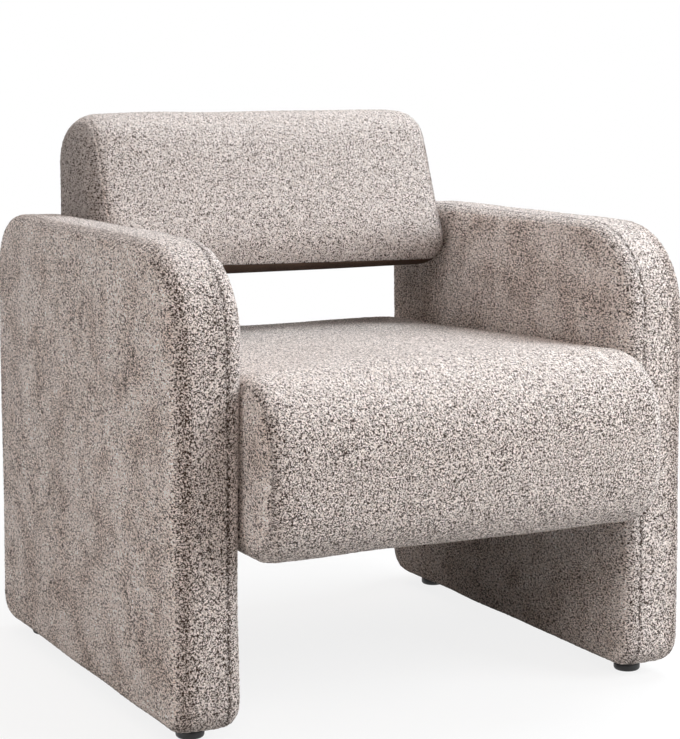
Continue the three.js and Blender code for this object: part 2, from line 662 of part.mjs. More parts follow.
function addBack() {
  addPiece('back_cover', backCover(), boucle);
  addPiece('back_foam', backFoam(), foam);
  addPiece('back_left_end_board', backEndPlate(-1), plywood);
  addPiece('back_right_end_board', backEndPlate(1), plywood);
  addPiece('back_top_rail', backRail([backFrameTopZ - backRailHeight, backFrameTopZ]), pine);
  addPiece('back_bottom_rail', backRail([backFrameFootZ, backFrameFootZ + backRailHeight]), pine);
  const panelHalf = backFrameHalf - backEndBoard - pieceGap;
  addPiece('back_rear_panel', box([-panelHalf, panelHalf],
    [backPanelRearY - backPanel, backPanelRearY], [backFrameFootZ, backFrameTopZ]), plywood);
  const pitch = (2 * panelHalf) / strapCount;
  for (let k = 0; k < strapCount; k += 1) {
    const x = pitch * (k - (strapCount - 1) / 2);
    addPiece(`back_strap_${k + 1}`, box([x - strapWidth / 2, x + strapWidth / 2],
      [backRailFrontY - pieceGap - strapThickness, backRailFrontY - pieceGap],
      [backFrameFootZ, backFrameTopZ]), strapping);
  }
  addPiece('back_base_cloth', backFootSlab(backMouthHalf - pieceGap,
    [backMouthY[0] + pieceGap, backMouthY[1] - pieceGap], [0, coverThickness]), lining);
}

addArm(-1, 'left');
addArm(1, 'right');
addSeat();
addBack();

export default chair;
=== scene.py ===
import math
from collections import namedtuple

import bmesh
import bpy
import numpy as np
from bpy.props import FloatProperty, FloatVectorProperty, IntProperty, PointerProperty
from mathutils import Matrix, Vector
from mathutils.kdtree import KDTree


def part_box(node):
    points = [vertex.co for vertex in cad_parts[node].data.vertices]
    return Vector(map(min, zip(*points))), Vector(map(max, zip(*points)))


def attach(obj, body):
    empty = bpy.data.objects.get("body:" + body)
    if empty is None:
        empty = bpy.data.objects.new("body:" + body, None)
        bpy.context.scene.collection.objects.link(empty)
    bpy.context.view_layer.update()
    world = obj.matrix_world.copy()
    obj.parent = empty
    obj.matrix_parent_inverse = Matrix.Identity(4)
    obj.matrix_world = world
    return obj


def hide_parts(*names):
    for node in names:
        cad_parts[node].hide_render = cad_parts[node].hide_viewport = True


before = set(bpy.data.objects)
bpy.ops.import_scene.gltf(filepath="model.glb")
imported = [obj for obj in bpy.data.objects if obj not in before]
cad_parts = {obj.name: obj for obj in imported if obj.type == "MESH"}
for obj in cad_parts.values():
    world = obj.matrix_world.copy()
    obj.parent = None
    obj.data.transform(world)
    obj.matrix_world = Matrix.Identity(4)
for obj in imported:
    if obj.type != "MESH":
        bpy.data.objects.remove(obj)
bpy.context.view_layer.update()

bl_info = {
    "name": "Boucle Tub Chair",
    "version": (1, 0, 0),
    "blender": (4, 5, 0),
    "location": "3D View > Sidebar > Chair",
    "description": "Upholsters the frame of a tub chair in boucle and lights it in a studio",
    "category": "Object",
}

# Photograph size in pixels, and the width of the camera's sensor in millimetres
PICTURE_WIDTH = 680
PICTURE_HEIGHT = 739
SENSOR_WIDTH = 36

HANDS = {"left": -1, "right": 1}

# Nubs are longer from front to rear, as the cloth's pile runs
NUB_STRETCH = (1.0, 0.5, 1.0)

# The mesh holds nubs that are this much larger than the drawn ones
RELIEF_GROWTH = 1.7

# Size in metres of the padding's uneven patches
PATCH_SIZE = 0.16

# How a seam and the side panel beyond it look: the strength of the crease, the panel's look, how far
# the cloth faces sideways where that look begins, and how much the nubs open up and darken beside the
# seam, partly as painted shade on the rounded edge.
# The panel's look is 1 where it is flat and clouded. Up to 2 its nubs show again and it gets darker,
# which is painted shade on panels that face away from the lamps, and partly the pile's direction.
SeamLook = namedtuple("SeamLook", "crease panel panel_start open_nubs")

# How much further sideways the cloth faces where the side panel's look is full
PANEL_FADE = 0.18

# How far in x, y and z the bulges of an arm's shoulder and of the seat's ends fade, in metres
SHOULDER_REACH = (0.025, 0.080, 0.110)
SEAT_END_REACH = (0.030, 0.055, 0.200)

# How far in metres a cover may stand past its node in the frame where it swells
SWELL_ROOM = 0.004

DOWN = (0, 0, -1)
REARWARDS = (0, 1, 0)

# Each lamp's turn from the front and height above level in degrees, its distance and size in metres
# and its tint
LAMPS = {
    "key": (42, 22, 2.4, 1.4, (0.95, 0.98, 1.0)),
    "top": (100, 60, 3.2, 1.6, (0.90, 0.96, 1.0)),
    "front": (-25, 35, 3.2, 1.6, (1.0, 0.88, 0.81)),
    "fill": (-80, 18, 3.2, 1.6, (1.0, 0.98, 0.97)),
    "rear": (180, 50, 3.2, 1.6, (1.0, 0.88, 0.82)),
}
LAMP_TARGET = Vector((0.0, 0.0, 0.35))

# The word in a frame node's name that tells its material. Where there are two, the later one counts.
FINISHES = {
    "board": "plywood",
    "panel": "plywood",
    "post": "pine",
    "rail": "pine",
    "spring": "spring_steel",
    "bolt": "zinc_steel",
    "strap": "strapping",
}


# Settings

class ArmSettings(bpy.types.PropertyGroup):
    """Sizes of the padded arms"""

    top_front_radius: FloatProperty(
        name="Top Front Radius", description="Round of the arm's top corner at the front",
        default=0.114, min=0.01, unit="LENGTH")
    top_rear_radius: FloatProperty(
        name="Top Rear Radius", description="Round of the arm's top corner at the rear",
        default=0.076, min=0.01, unit="LENGTH")
    foot_radius: FloatProperty(
        name="Foot Radius", description="Round of the arm's two bottom corners",
        default=0.038, min=0.01, unit="LENGTH")
    edge_radius: FloatProperty(
        name="Edge Radius", description="Round of the long edges between side panels and boxing strip",
        default=0.019, min=0.004, unit="LENGTH")
    outer_seam: FloatProperty(
        name="Outer Seam", description="Distance of the outer seam from the arm's outer face",
        default=0.0175, min=0.002, unit="LENGTH")
    inner_seam: FloatProperty(
        name="Inner Seam", description="Distance of the inner seam from the arm's inner face",
        default=0.0195, min=0.002, unit="LENGTH")
    swell: FloatProperty(
        name="Swell", description="Most that an arm's cover stands proud of its flat shape",
        default=0.0025, min=0, unit="LENGTH")
    bulge: FloatProperty(
        name="Shoulder Bulge", description="How far the inner front edge bulges above the seat",
        default=0.0060, min=0, unit="LENGTH")
    bulge_height: FloatProperty(
        name="Bulge Height", description="Height of the middle of that bulge above the floor",
        default=0.495, min=0, unit="LENGTH")


class SeatSettings(bpy.types.PropertyGroup):
    """Sizes of the seat block"""

    front_height: FloatProperty(
        name="Front Height", description="Height of the seat's top line where it reaches the front",
        default=0.435, min=0.1, unit="LENGTH")
    rear_height: FloatProperty(
        name="Rear Height", description="Height of the seat's top line where it reaches the rear",
        default=0.408, min=0.1, unit="LENGTH")
    front_inset: FloatProperty(
        name="Front Inset", description="How far the front starts behind its swollen place",
        default=0.004, min=0, unit="LENGTH")
    nose_top_radius: FloatProperty(
        name="Nose Top Radius", description="Round of the front edge at the top",
        default=0.088, min=0.01, unit="LENGTH")
    nose_foot_radius: FloatProperty(
        name="Nose Foot Radius", description="Round of the front edge at the bottom",
        default=0.075, min=0.01, unit="LENGTH")
    rear_radius: FloatProperty(
        name="Rear Radius", description="Round of the two rear edges",
        default=0.025, min=0.005, unit="LENGTH")
    edge_radius: FloatProperty(
        name="Edge Radius", description="Round of the edges beside the arms",
        default=0.024, min=0.004, unit="LENGTH")
    seam_inset: FloatProperty(
        name="Seam Inset", description="Distance of the side seams from the seat's side faces",
        default=0.0027, min=0.001, unit="LENGTH")
    swell: FloatProperty(
        name="Swell", description="Most that the seat's cover moves when it is blown up",
        default=0.006, min=0, unit="LENGTH")
    end_bulge: FloatProperty(
        name="End Bulge", description="How far the seat swells sideways in front of the arms",
        default=0.0030, min=0, unit="LENGTH")


class BackSettings(bpy.types.PropertyGroup):
    """Sizes of the wedge back rest"""

    foot_height: FloatProperty(
        name="Foot Height", description="Height of the rear bottom edge",
        default=0.485, min=0.1, unit="LENGTH")
    front_lift: FloatProperty(
        name="Front Lift", description="How much higher the front bottom edge is",
        default=0.016, min=0, unit="LENGTH")
    crest_height: FloatProperty(
        name="Crest Height", description="Height of the top before it swells",
        default=0.7135, min=0.1, unit="LENGTH")
    foot_depth: FloatProperty(
        name="Foot Depth", description="Front to rear size at the bottom",
        default=0.224, min=0.05, unit="LENGTH")
    crest_depth: FloatProperty(
        name="Crest Depth", description="Front to rear size at the top",
        default=0.129, min=0.05, unit="LENGTH")
    foot_front_radius: FloatProperty(
        name="Foot Front Radius", description="Round of the bottom edge at the front",
        default=0.040, min=0.005, unit="LENGTH")
    foot_rear_radius: FloatProperty(
        name="Foot Rear Radius", description="Round of the bottom edge at the rear",
        default=0.038, min=0.005, unit="LENGTH")
    crest_rear_radius: FloatProperty(
        name="Crest Rear Radius", description="Round of the top edge at the rear",
        default=0.071, min=0.005, unit="LENGTH")
    crest_front_radius: FloatProperty(
        name="Crest Front Radius", description="Round of the top edge at the front",
        default=0.049, min=0.005, unit="LENGTH")
    end_radius: FloatProperty(
        name="End Radius", description="Round of the edges of the two end panels",
        default=0.040, min=0.004, unit="LENGTH")
    seam_inset: FloatProperty(
        name="Seam Inset", description="Distance of the end seams from the end faces",
        default=0.017, min=0.001, unit="LENGTH")
    swell: FloatProperty(
        name="Swell", description="Most that the back's cover moves when it is blown up",
        default=0.007, min=0, unit="LENGTH")


class ClothSettings(bpy.types.PropertyGroup):
    """The thin smooth cloths underneath"""

    panel_width: FloatProperty(
        name="Panel Width", description="Side to side size of the back rest's bottom panel",
        default=0.492, min=0.05, unit="LENGTH")
    panel_rise: FloatProperty(
        name="Panel Rise", description="Height of the panel's front edge above the rear bottom edge",
        default=0.0245, min=0, unit="LENGTH")
    panel_slope: FloatProperty(
        name="Panel Slope", description="How much the panel's front edge drops from left to right, per metre",
        default=0.0174)
    panel_rear_gap: FloatProperty(
        name="Panel Rear Gap", description="Distance of the panel's rear edge from the back rest's rear face",
        default=0.022, min=0.005, unit="LENGTH")
    thickness: FloatProperty(
        name="Thickness", description="Thickness of the smooth cloth",
        default=0.0009, min=0.0002, unit="LENGTH")
    margin: FloatProperty(
        name="Margin", description="How far a base cloth reaches past its opening",
        default=0.004, min=0, unit="LENGTH")
    recess: FloatProperty(
        name="Recess", description="Depth of the shallow bed that a base cloth lies in",
        default=0.0022, min=0, unit="LENGTH")
    sag: FloatProperty(
        name="Sag", description="How far a base cloth hangs down in its middle",
        default=0.0025, min=0, unit="LENGTH")
    staple_step: FloatProperty(
        name="Staple Step", description="Distance from staple to staple",
        default=0.045, min=0.01, unit="LENGTH")


class GlideSettings(bpy.types.PropertyGroup):
    """The plastic glides under the arms"""

    foot_height: FloatProperty(
        name="Foot Height", description="Height of the glide's round foot",
        default=0.0147, min=0.003, unit="LENGTH")
    edge_radius: FloatProperty(
        name="Edge Radius", description="Round of the foot's bottom edge",
        default=0.004, min=0.0005, unit="LENGTH")
    stem_radius: FloatProperty(
        name="Stem Radius", description="Half the width of the stem",
        default=0.004, min=0.001, unit="LENGTH")
    groove_depth: FloatProperty(
        name="Groove Depth", description="Depth of the moulded groove round the foot",
        default=0.0007, min=0, unit="LENGTH")


class PaddingSettings(bpy.types.PropertyGroup):
    """How the padded covers are blown up and sewn"""

    voxel: FloatProperty(
        name="Mesh Step", description="Least size of the even mesh of a cover, before it is halved",
        default=0.0052, min=0.003, unit="LENGTH")
    quick_voxel: FloatProperty(
        name="Quick Mesh Step", description="Coarser mesh for quick looks, which skip the solver",
        default=0.008, min=0.003, unit="LENGTH")
    solver_voxel: FloatProperty(
        name="Solver Mesh Step", description="Size of the even mesh that the cloth solver works on",
        default=0.0075, min=0.003, unit="LENGTH")
    faces: IntProperty(
        name="Faces", description="Most faces that an even mesh has before it is halved",
        default=23500, min=1000)
    pressure: FloatProperty(
        name="Pressure", description="Air pressure inside the cover",
        default=4.0, min=0)
    frames: IntProperty(
        name="Frames", description="Steps of the cloth solver",
        default=14, min=2)
    seam_depth: FloatProperty(
        name="Seam Depth", description="Depth of the crease along a strong seam",
        default=0.0009, min=0, unit="LENGTH")
    seam_width: FloatProperty(
        name="Seam Width", description="Half width of the crease along a seam",
        default=0.0022, min=0.0005, unit="LENGTH")
    # In that band the nubs are also painted darker and browner, partly as shade on the rounded edge
    seam_spread: FloatProperty(
        name="Seam Spread", description="Half width of the band beside a seam in which the nubs open up",
        default=0.0080, min=0.001, unit="LENGTH")
    unevenness: FloatProperty(
        name="Unevenness", description="Height of the soft unevenness of the padding",
        default=0.0007, min=0, unit="LENGTH")
    foam_slack: FloatProperty(
        name="Foam Slack", description="How far the arms' foam stays behind its space in the frame",
        default=0.0022, min=0, unit="LENGTH")
    block_slack: FloatProperty(
        name="Block Slack", description="How far the thick foam of the seat and the back rest stays behind",
        default=0.0050, min=0, unit="LENGTH")
    foam_edge: FloatProperty(
        name="Foam Edge", description="Round of the cut foam's sharp edges",
        default=0.0020, min=0.0002, unit="LENGTH")


class BoucleSettings(bpy.types.PropertyGroup):
    """The nubby cloth"""

    yarn: FloatVectorProperty(
        name="Yarn", description="Colour of the pale nubs",
        default=(0.87, 0.795, 0.76), subtype="COLOR", min=0, max=1)
    second_yarn: FloatVectorProperty(
        name="Second Yarn", description="Colour of the greyer nubs between them",
        default=(0.68, 0.595, 0.55), subtype="COLOR", min=0, max=1)
    # The dark ground is the ground yarn with painted shade in the recesses between the nubs
    ground: FloatVectorProperty(
        name="Ground", description="Colour of the dark ground seen between the nubs",
        default=(0.034, 0.017, 0.010), subtype="COLOR", min=0, max=1)
    cloud: FloatVectorProperty(
        name="Cloud", description="Tint of the flat, clouded patches on the side panels",
        default=(0.72, 0.63, 0.57), subtype="COLOR", min=0, max=1)
    nub: FloatProperty(
        name="Nub Size", description="Distance from nub to nub",
        default=0.0020, min=0.001, unit="LENGTH")
    gap: FloatProperty(
        name="Gap Width", description="Widest gap between nubs, as a share of the nub size",
        default=0.48, min=0, max=0.6)
    mottling: FloatProperty(
        name="Mottling", description="Strength of the clouded patches on the side panels",
        default=0.5, min=0, max=1)
    relief: FloatProperty(
        name="Relief", description="Height of the nubs in the mesh",
        default=0.0006, min=0, unit="LENGTH")
    bump: FloatProperty(
        name="Bump", description="Height of the fine nubs in the shading",
        default=0.0008, min=0, unit="LENGTH")


class StageSettings(bpy.types.PropertyGroup):
    """Camera, lamps and floor"""

    lens: FloatProperty(
        name="Lens", description="Focal length in millimetres",
        default=104.403, min=10)
    azimuth: FloatProperty(
        name="Azimuth", description="Turn of the camera from straight ahead",
        default=math.radians(-27.213), subtype="ANGLE")
    pitch: FloatProperty(
        name="Pitch", description="Angle by which the camera looks down",
        default=math.radians(6.382), subtype="ANGLE")
    camera_place: FloatVectorProperty(
        name="Camera Place", description="Where the camera stands",
        default=(-1.24329, -2.47456, 0.78542), subtype="XYZ", unit="LENGTH")
    axis_column: FloatProperty(
        name="Axis Column", description="Pixel column that the camera's axis meets",
        default=359.30, min=0)
    axis_row: FloatProperty(
        name="Axis Row", description="Pixel row that the camera's axis meets",
        default=300.0, min=0)
    key_power: FloatProperty(
        name="Key Power", description="Watts of the main lamp at the front right",
        default=49.0, min=0)
    top_power: FloatProperty(
        name="Top Power", description="Watts of the high lamp at the right",
        default=72.0, min=0)
    front_power: FloatProperty(
        name="Front Power", description="Watts of the weak lamp at the front left",
        default=23.0, min=0)
    fill_power: FloatProperty(
        name="Fill Power", description="Watts of the weak lamp at the left",
        default=26.0, min=0)
    rear_power: FloatProperty(
        name="Rear Power", description="Watts of the high lamp behind the chair",
        default=28.0, min=0)
    room_light: FloatProperty(
        name="Room Light", description="Strength of the even light from all sides",
        default=0.02, min=0)
    floor: FloatVectorProperty(
        name="Floor", description="Colour of the floor as it lights the chair",
        default=(0.60, 0.58, 0.56), subtype="COLOR", min=0, max=1)
    seen_floor: FloatVectorProperty(
        name="Seen Floor", description="Colour of the floor as the camera sees it",
        default=(0.95, 0.95, 0.95), subtype="COLOR", min=0, max=1)
    shadow: FloatProperty(
        name="Shadow", description="Share of the floor's look that takes shadow under the chair",
        default=0.16, min=0, max=1, subtype="FACTOR")
    shadow_reach: FloatProperty(
        name="Shadow Reach", description="Distance from the chair's middle at which no shadow is left",
        default=1.5, min=0.5, unit="LENGTH")


# Node helpers

def link(tree, output, target):
    tree.links.new(output, target)


def feed(tree, socket, value):
    """Links a socket to the input, or sets the input to a number or colour."""
    if isinstance(value, bpy.types.NodeSocket):
        link(tree, value, socket)
    elif socket.type == "RGBA":
        socket.default_value = (*value[:3], 1.0)
    elif value is not None:
        socket.default_value = value


def math_node(tree, operation, first, second=None, clamp=False):
    """A Math node. Its inputs are numbers or sockets, and its output socket is returned."""
    node = tree.nodes.new("ShaderNodeMath")
    node.operation = operation
    node.use_clamp = clamp
    feed(tree, node.inputs[0], first)
    feed(tree, node.inputs[1], second)
    return node.outputs[0]


def vector_node(tree, operation, first, second=None, scale=None):
    """A Vector Math node, used as math_node is."""
    node = tree.nodes.new("ShaderNodeVectorMath")
    node.operation = operation
    feed(tree, node.inputs[0], first)
    feed(tree, node.inputs[1], second)
    if scale is not None:
        feed(tree, node.inputs["Scale"], scale)
    return node.outputs["Value"] if operation == "LENGTH" else node.outputs[0]


def ramp_node(tree, value, low, high, to_low=0.0, to_high=1.0, smooth=True):
    """A Map Range node from low..high to to_low..to_high, held at its ends."""
    node = tree.nodes.new("ShaderNodeMapRange")
    node.interpolation_type = "SMOOTHSTEP" if smooth else "LINEAR"
    for name, given in (("Value", value), ("From Min", low), ("From Max", high),
                        ("To Min", to_low), ("To Max", to_high)):
        feed(tree, node.inputs[name], given)
    return node.outputs["Result"]


def mix_node(tree, factor, first, second, blend="MIX"):
    """A colour Mix node. Sockets 6 and 7 are its colour inputs, and 2 is its colour output."""
    node = tree.nodes.new("ShaderNodeMix")
    node.data_type = "RGBA"
    node.blend_type = blend
    node.clamp_factor = True
    for place, given in ((0, factor), (6, first), (7, second)):
        feed(tree, node.inputs[place], given)
    return node.outputs[2]


def noise_node(tree, place, scale, detail=2.0, roughness=0.5):
    """A Noise Texture node. Its scale is a number or a socket."""
    node = tree.nodes.new("ShaderNodeTexNoise")
    link(tree, place, node.inputs["Vector"])
    feed(tree, node.inputs["Scale"], scale)
    node.inputs["Detail"].default_value = detail
    node.inputs["Roughness"].default_value = roughness
    return node


def cell_node(tree, place, scale, feature="F1"):
    """A Voronoi Texture node."""
    node = tree.nodes.new("ShaderNodeTexVoronoi")
    node.feature = feature
    link(tree, place, node.inputs["Vector"])
    node.inputs["Scale"].default_value = scale
    return node


def split_node(tree, vector):
    """The x, y and z outputs of a vector."""
    node = tree.nodes.new("ShaderNodeSeparateXYZ")
    link(tree, vector, node.inputs[0])
    return node.outputs


def new_group(name, inputs, outputs, kind="ShaderNodeTree"):
    """A node group with those named sockets, and its input and output nodes."""
    group = bpy.data.node_groups.new(name, kind)
    for label, socket, default in inputs:
        made = group.interface.new_socket(label, in_out="INPUT", socket_type=socket)
        if default is not None:
            made.default_value = default
    for label, socket in outputs:
        group.interface.new_socket(label, in_out="OUTPUT", socket_type=socket)
    entry = group.nodes.new("NodeGroupInput")
    leave = group.nodes.new("NodeGroupOutput")
    return group, entry.outputs, leave.inputs


SURFACE = [("Color", "NodeSocketColor"), ("Roughness", "NodeSocketFloat"), ("Height", "NodeSocketFloat")]


def placed_group(tree, group, place, **values):
    """A copy of the group in a material, fed with a place and its own values."""
    node = tree.nodes.new("ShaderNodeGroup")
    node.node_tree = group
    link(tree, place, node.inputs["Place"])
    for name, value in values.items():
        feed(tree, node.inputs[name.replace("_", " ")], value)
    return node.outputs


def made_material(name):
    """The material that this add-on made under that name. The frame has plain ones of its own."""
    return bpy.data.materials[f"{name}_finish"]


def new_material(name):
    """A material with a Principled shader and the object's own coordinates."""
    material = bpy.data.materials.new(f"{name}_finish")
    material.use_nodes = True
    tree = material.node_tree
    shader = tree.nodes["Principled BSDF"]
    place = tree.nodes.new("ShaderNodeTexCoord").outputs["Object"]
    return material, tree, shader, place


def surface_into(tree, shader, outputs, distance):
    """Sends a group's colour, roughness and height to the shader. distance is the height's full size."""
    link(tree, outputs["Color"], shader.inputs["Base Color"])
    link(tree, outputs["Roughness"], shader.inputs["Roughness"])
    bump = tree.nodes.new("ShaderNodeBump")
    bump.inputs["Strength"].default_value = 1.0
    bump.inputs["Distance"].default_value = distance
    link(tree, outputs["Height"], bump.inputs["Height"])
    link(tree, bump.outputs["Normal"], shader.inputs["Normal"])


# Boucle

def nub_pattern(tree, place, nub):
    """Fills space with curled nubs. The same nodes shape the mesh and colour it.

    Returns the bent place, in which a nub is 1 wide, and how far the nearest gap between nubs is.
    """
    stretched = vector_node(tree, "MULTIPLY", place, NUB_STRETCH)
    small = vector_node(tree, "SCALE", stretched, scale=math_node(tree, "DIVIDE", 1.0, nub))
    curl = noise_node(tree, small, scale=1.4, detail=1.0)
    centred = vector_node(tree, "SUBTRACT", curl.outputs["Color"], (0.5, 0.5, 0.5))
    bent = vector_node(tree, "ADD", small, vector_node(tree, "SCALE", centred, scale=1.4))
    return bent, cell_node(tree, bent, scale=1.0, feature="DISTANCE_TO_EDGE").outputs["Distance"]


def boucle_group():
    """Colour, roughness and height of the nubby cloth."""
    group, entry, leave = new_group(
        "Boucle",
        [("Place", "NodeSocketVector", None),
         ("Nub Size", "NodeSocketFloat", 0.002),
         ("Gap Width", "NodeSocketFloat", 0.48),
         ("Yarn", "NodeSocketColor", None),
         ("Second Yarn", "NodeSocketColor", None),
         ("Ground", "NodeSocketColor", None),
         ("Cloud", "NodeSocketColor", None),
         ("Mottling", "NodeSocketFloat", 0.5),
         ("Facing Up", "NodeSocketFloat", 0.0),
         ("Side Panel", "NodeSocketFloat", 0.0),
         ("Opened", "NodeSocketFloat", 0.0),
         ("Stitching", "NodeSocketFloat", 0.0)],
        SURFACE)
    place = entry["Place"]
    opened = entry["Opened"]
    bent, from_gap = nub_pattern(group, place, entry["Nub Size"])

    # From 1 to 2 the side panel's look turns back to nubs and gets darker, as painted shade where the
    # panel faces away from the lamps and partly for the pile's direction
    look = entry["Side Panel"]
    side = math_node(group, "MINIMUM", look, math_node(group, "SUBTRACT", 2.0, look))
    panel_shade = ramp_node(group, look, 1.0, 2.0, 1.0, 0.5, smooth=False)

    # Gaps open where breaks is high: in clumps on side panels, and where the cloth bends open beside seams,
    # with painted shade on the rounded edge. They are narrower where the cloth faces up, as painted light
    # from above that makes the tops lighter.
    long_way = vector_node(group, "MULTIPLY", place, (1.0, 0.6, 0.6))
    cloud = noise_node(group, long_way, scale=26.0, detail=5.0, roughness=0.6).outputs[0]
    clumps = math_node(group, "MULTIPLY", math_node(group, "SUBTRACT", cloud, 0.5), side)
    breaks = noise_node(group, bent, scale=1.1, detail=1.0).outputs[0]
    breaks = math_node(group, "ADD", breaks, math_node(group, "MULTIPLY", clumps, 0.25))
    breaks = math_node(group, "ADD", breaks, math_node(group, "MULTIPLY", opened, 0.06))
    painted_top_light = ramp_node(group, entry["Facing Up"], 0.3, 0.95, 1.0, 0.5)
    widest = math_node(group, "MULTIPLY", entry["Gap Width"], painted_top_light)
    gap = ramp_node(
        group, breaks, ramp_node(group, side, 0.0, 1.0, 0.42, 0.48),
        ramp_node(group, side, 0.0, 1.0, 0.67, 0.70), -0.03, widest)
    body = ramp_node(
        group, from_gap, math_node(group, "MULTIPLY", gap, 0.5), math_node(group, "ADD", gap, 0.03))

    # Each nub has its own yarn and shade, with strands across it
    tints = group.nodes.new("ShaderNodeSeparateColor")
    link(group, cell_node(group, bent, scale=1.0).outputs["Color"], tints.inputs[0])
    yarn = mix_node(
        group, ramp_node(group, tints.outputs[0], 0.3, 0.9), entry["Yarn"], entry["Second Yarn"])
    fibres = noise_node(group, bent, scale=3.0, detail=2.0, roughness=0.6)
    strands = ramp_node(
        group, fibres.outputs[0], 0.3, 0.7, ramp_node(group, side, 0.0, 1.0, 0.68, 0.52), 1.40)
    shade = ramp_node(group, tints.outputs[1], 0.0, 1.0, 0.88, 1.10, smooth=False)
    shade = math_node(group, "MULTIPLY", shade, strands)
    # Side panels are made paler, partly to keep their mean tone beside their pits and clouds, partly as
    # painted light on faces turned sideways
    shade = math_node(group, "MULTIPLY", shade, ramp_node(group, side, 0.0, 1.0, 1.0, 1.36))
    shade = math_node(group, "MULTIPLY", shade, ramp_node(group, opened, -1.0, 0.0, 0.83, 1.0))
    yarn = vector_node(group, "SCALE", yarn, scale=math_node(group, "MULTIPLY", shade, panel_shade))

    # Clouded patches, the dark ground in the gaps, which is ground yarn with painted shade in the recesses
    # between nubs, and the holes of the stitches
    strength = math_node(group, "MULTIPLY", entry["Mottling"], side, clamp=True)
    patches = math_node(group, "MULTIPLY", ramp_node(group, cloud, 0.40, 0.66), strength)
    # Beside seams the nubs turn browner, partly as painted shade on the rounded edge
    patches = math_node(group, "MAXIMUM", patches, math_node(group, "MULTIPLY", opened, 0.6))
    yarn = mix_node(group, patches, yarn, entry["Cloud"], "MULTIPLY")
    cloth = mix_node(group, body, entry["Ground"], yarn)
    # The stitch holes take the dark ground, partly as painted shade in the seam's crease
    holes = ramp_node(group, noise_node(group, place, scale=330.0, detail=1.0).outputs[0], 0.40, 0.56)
    stitches = math_node(group, "MULTIPLY", entry["Stitching"], holes)
    link(group, mix_node(group, stitches, cloth, entry["Ground"]), leave["Color"])
    link(group, ramp_node(group, body, 0.0, 1.0, 1.0, 0.88), leave["Roughness"])
    fuzz = math_node(group, "MULTIPLY", fibres.outputs[0], 0.5)
    rise = math_node(group, "ADD", ramp_node(group, from_gap, 0.0, 0.45), fuzz)
    rise = math_node(group, "MULTIPLY", rise, ramp_node(group, side, 0.0, 1.0, 0.5, 1.0))
    link(group, math_node(group, "SUBTRACT", rise, stitches), leave["Height"])
    return group


def relief_group():
    """Geometry nodes that raise the nubs of the mesh itself."""
    group, entry, leave = new_group(
        "Nub Relief",
        [("Geometry", "NodeSocketGeometry", None),
         ("Nub Size", "NodeSocketFloat", 0.0034),
         ("Relief", "NodeSocketFloat", 0.0006)],
        [("Geometry", "NodeSocketGeometry")],
        kind="GeometryNodeTree")
    place = group.nodes.new("GeometryNodeInputPosition").outputs[0]
    normal = group.nodes.new("GeometryNodeInputNormal").outputs[0]
    _, from_gap = nub_pattern(group, place, entry["Nub Size"])
    height = math_node(group, "SUBTRACT", ramp_node(group, from_gap, 0.0, 0.40), 0.6)
    offset = vector_node(group, "SCALE", normal, scale=math_node(group, "MULTIPLY", height, entry["Relief"]))
    moved = group.nodes.new("GeometryNodeSetPosition")
    link(group, entry["Geometry"], moved.inputs["Geometry"])
    link(group, offset, moved.inputs["Offset"])
    link(group, moved.outputs["Geometry"], leave["Geometry"])


def boucle_material(group, cloth):
    """The covers' boucle. Attributes of the mesh tell it where side panels and seams are."""
    _, tree, shader, place = new_material("boucle")
    stored = {}
    for name in ("side_panel", "opened", "stitching"):
        node = tree.nodes.new("ShaderNodeAttribute")
        node.attribute_name = name
        stored[name] = node.outputs["Fac"]
    upwards = split_node(tree, tree.nodes.new("ShaderNodeNewGeometry").outputs["Normal"])["Z"]
    outputs = placed_group(
        tree, group, place, Nub_Size=cloth.nub, Gap_Width=cloth.gap, Yarn=cloth.yarn,
        Second_Yarn=cloth.second_yarn, Ground=cloth.ground, Cloud=cloth.cloud,
        Mottling=cloth.mottling, Facing_Up=upwards, Side_Panel=stored["side_panel"],
        Opened=stored["opened"], Stitching=stored["stitching"])
    surface_into(tree, shader, outputs, distance=cloth.bump)
    shader.inputs["Specular IOR Level"].default_value = 0.15
    shader.inputs["Sheen Weight"].default_value = 0.15
    shader.inputs["Sheen Roughness"].default_value = 0.5


# Finishes of the frame and the plain cloths

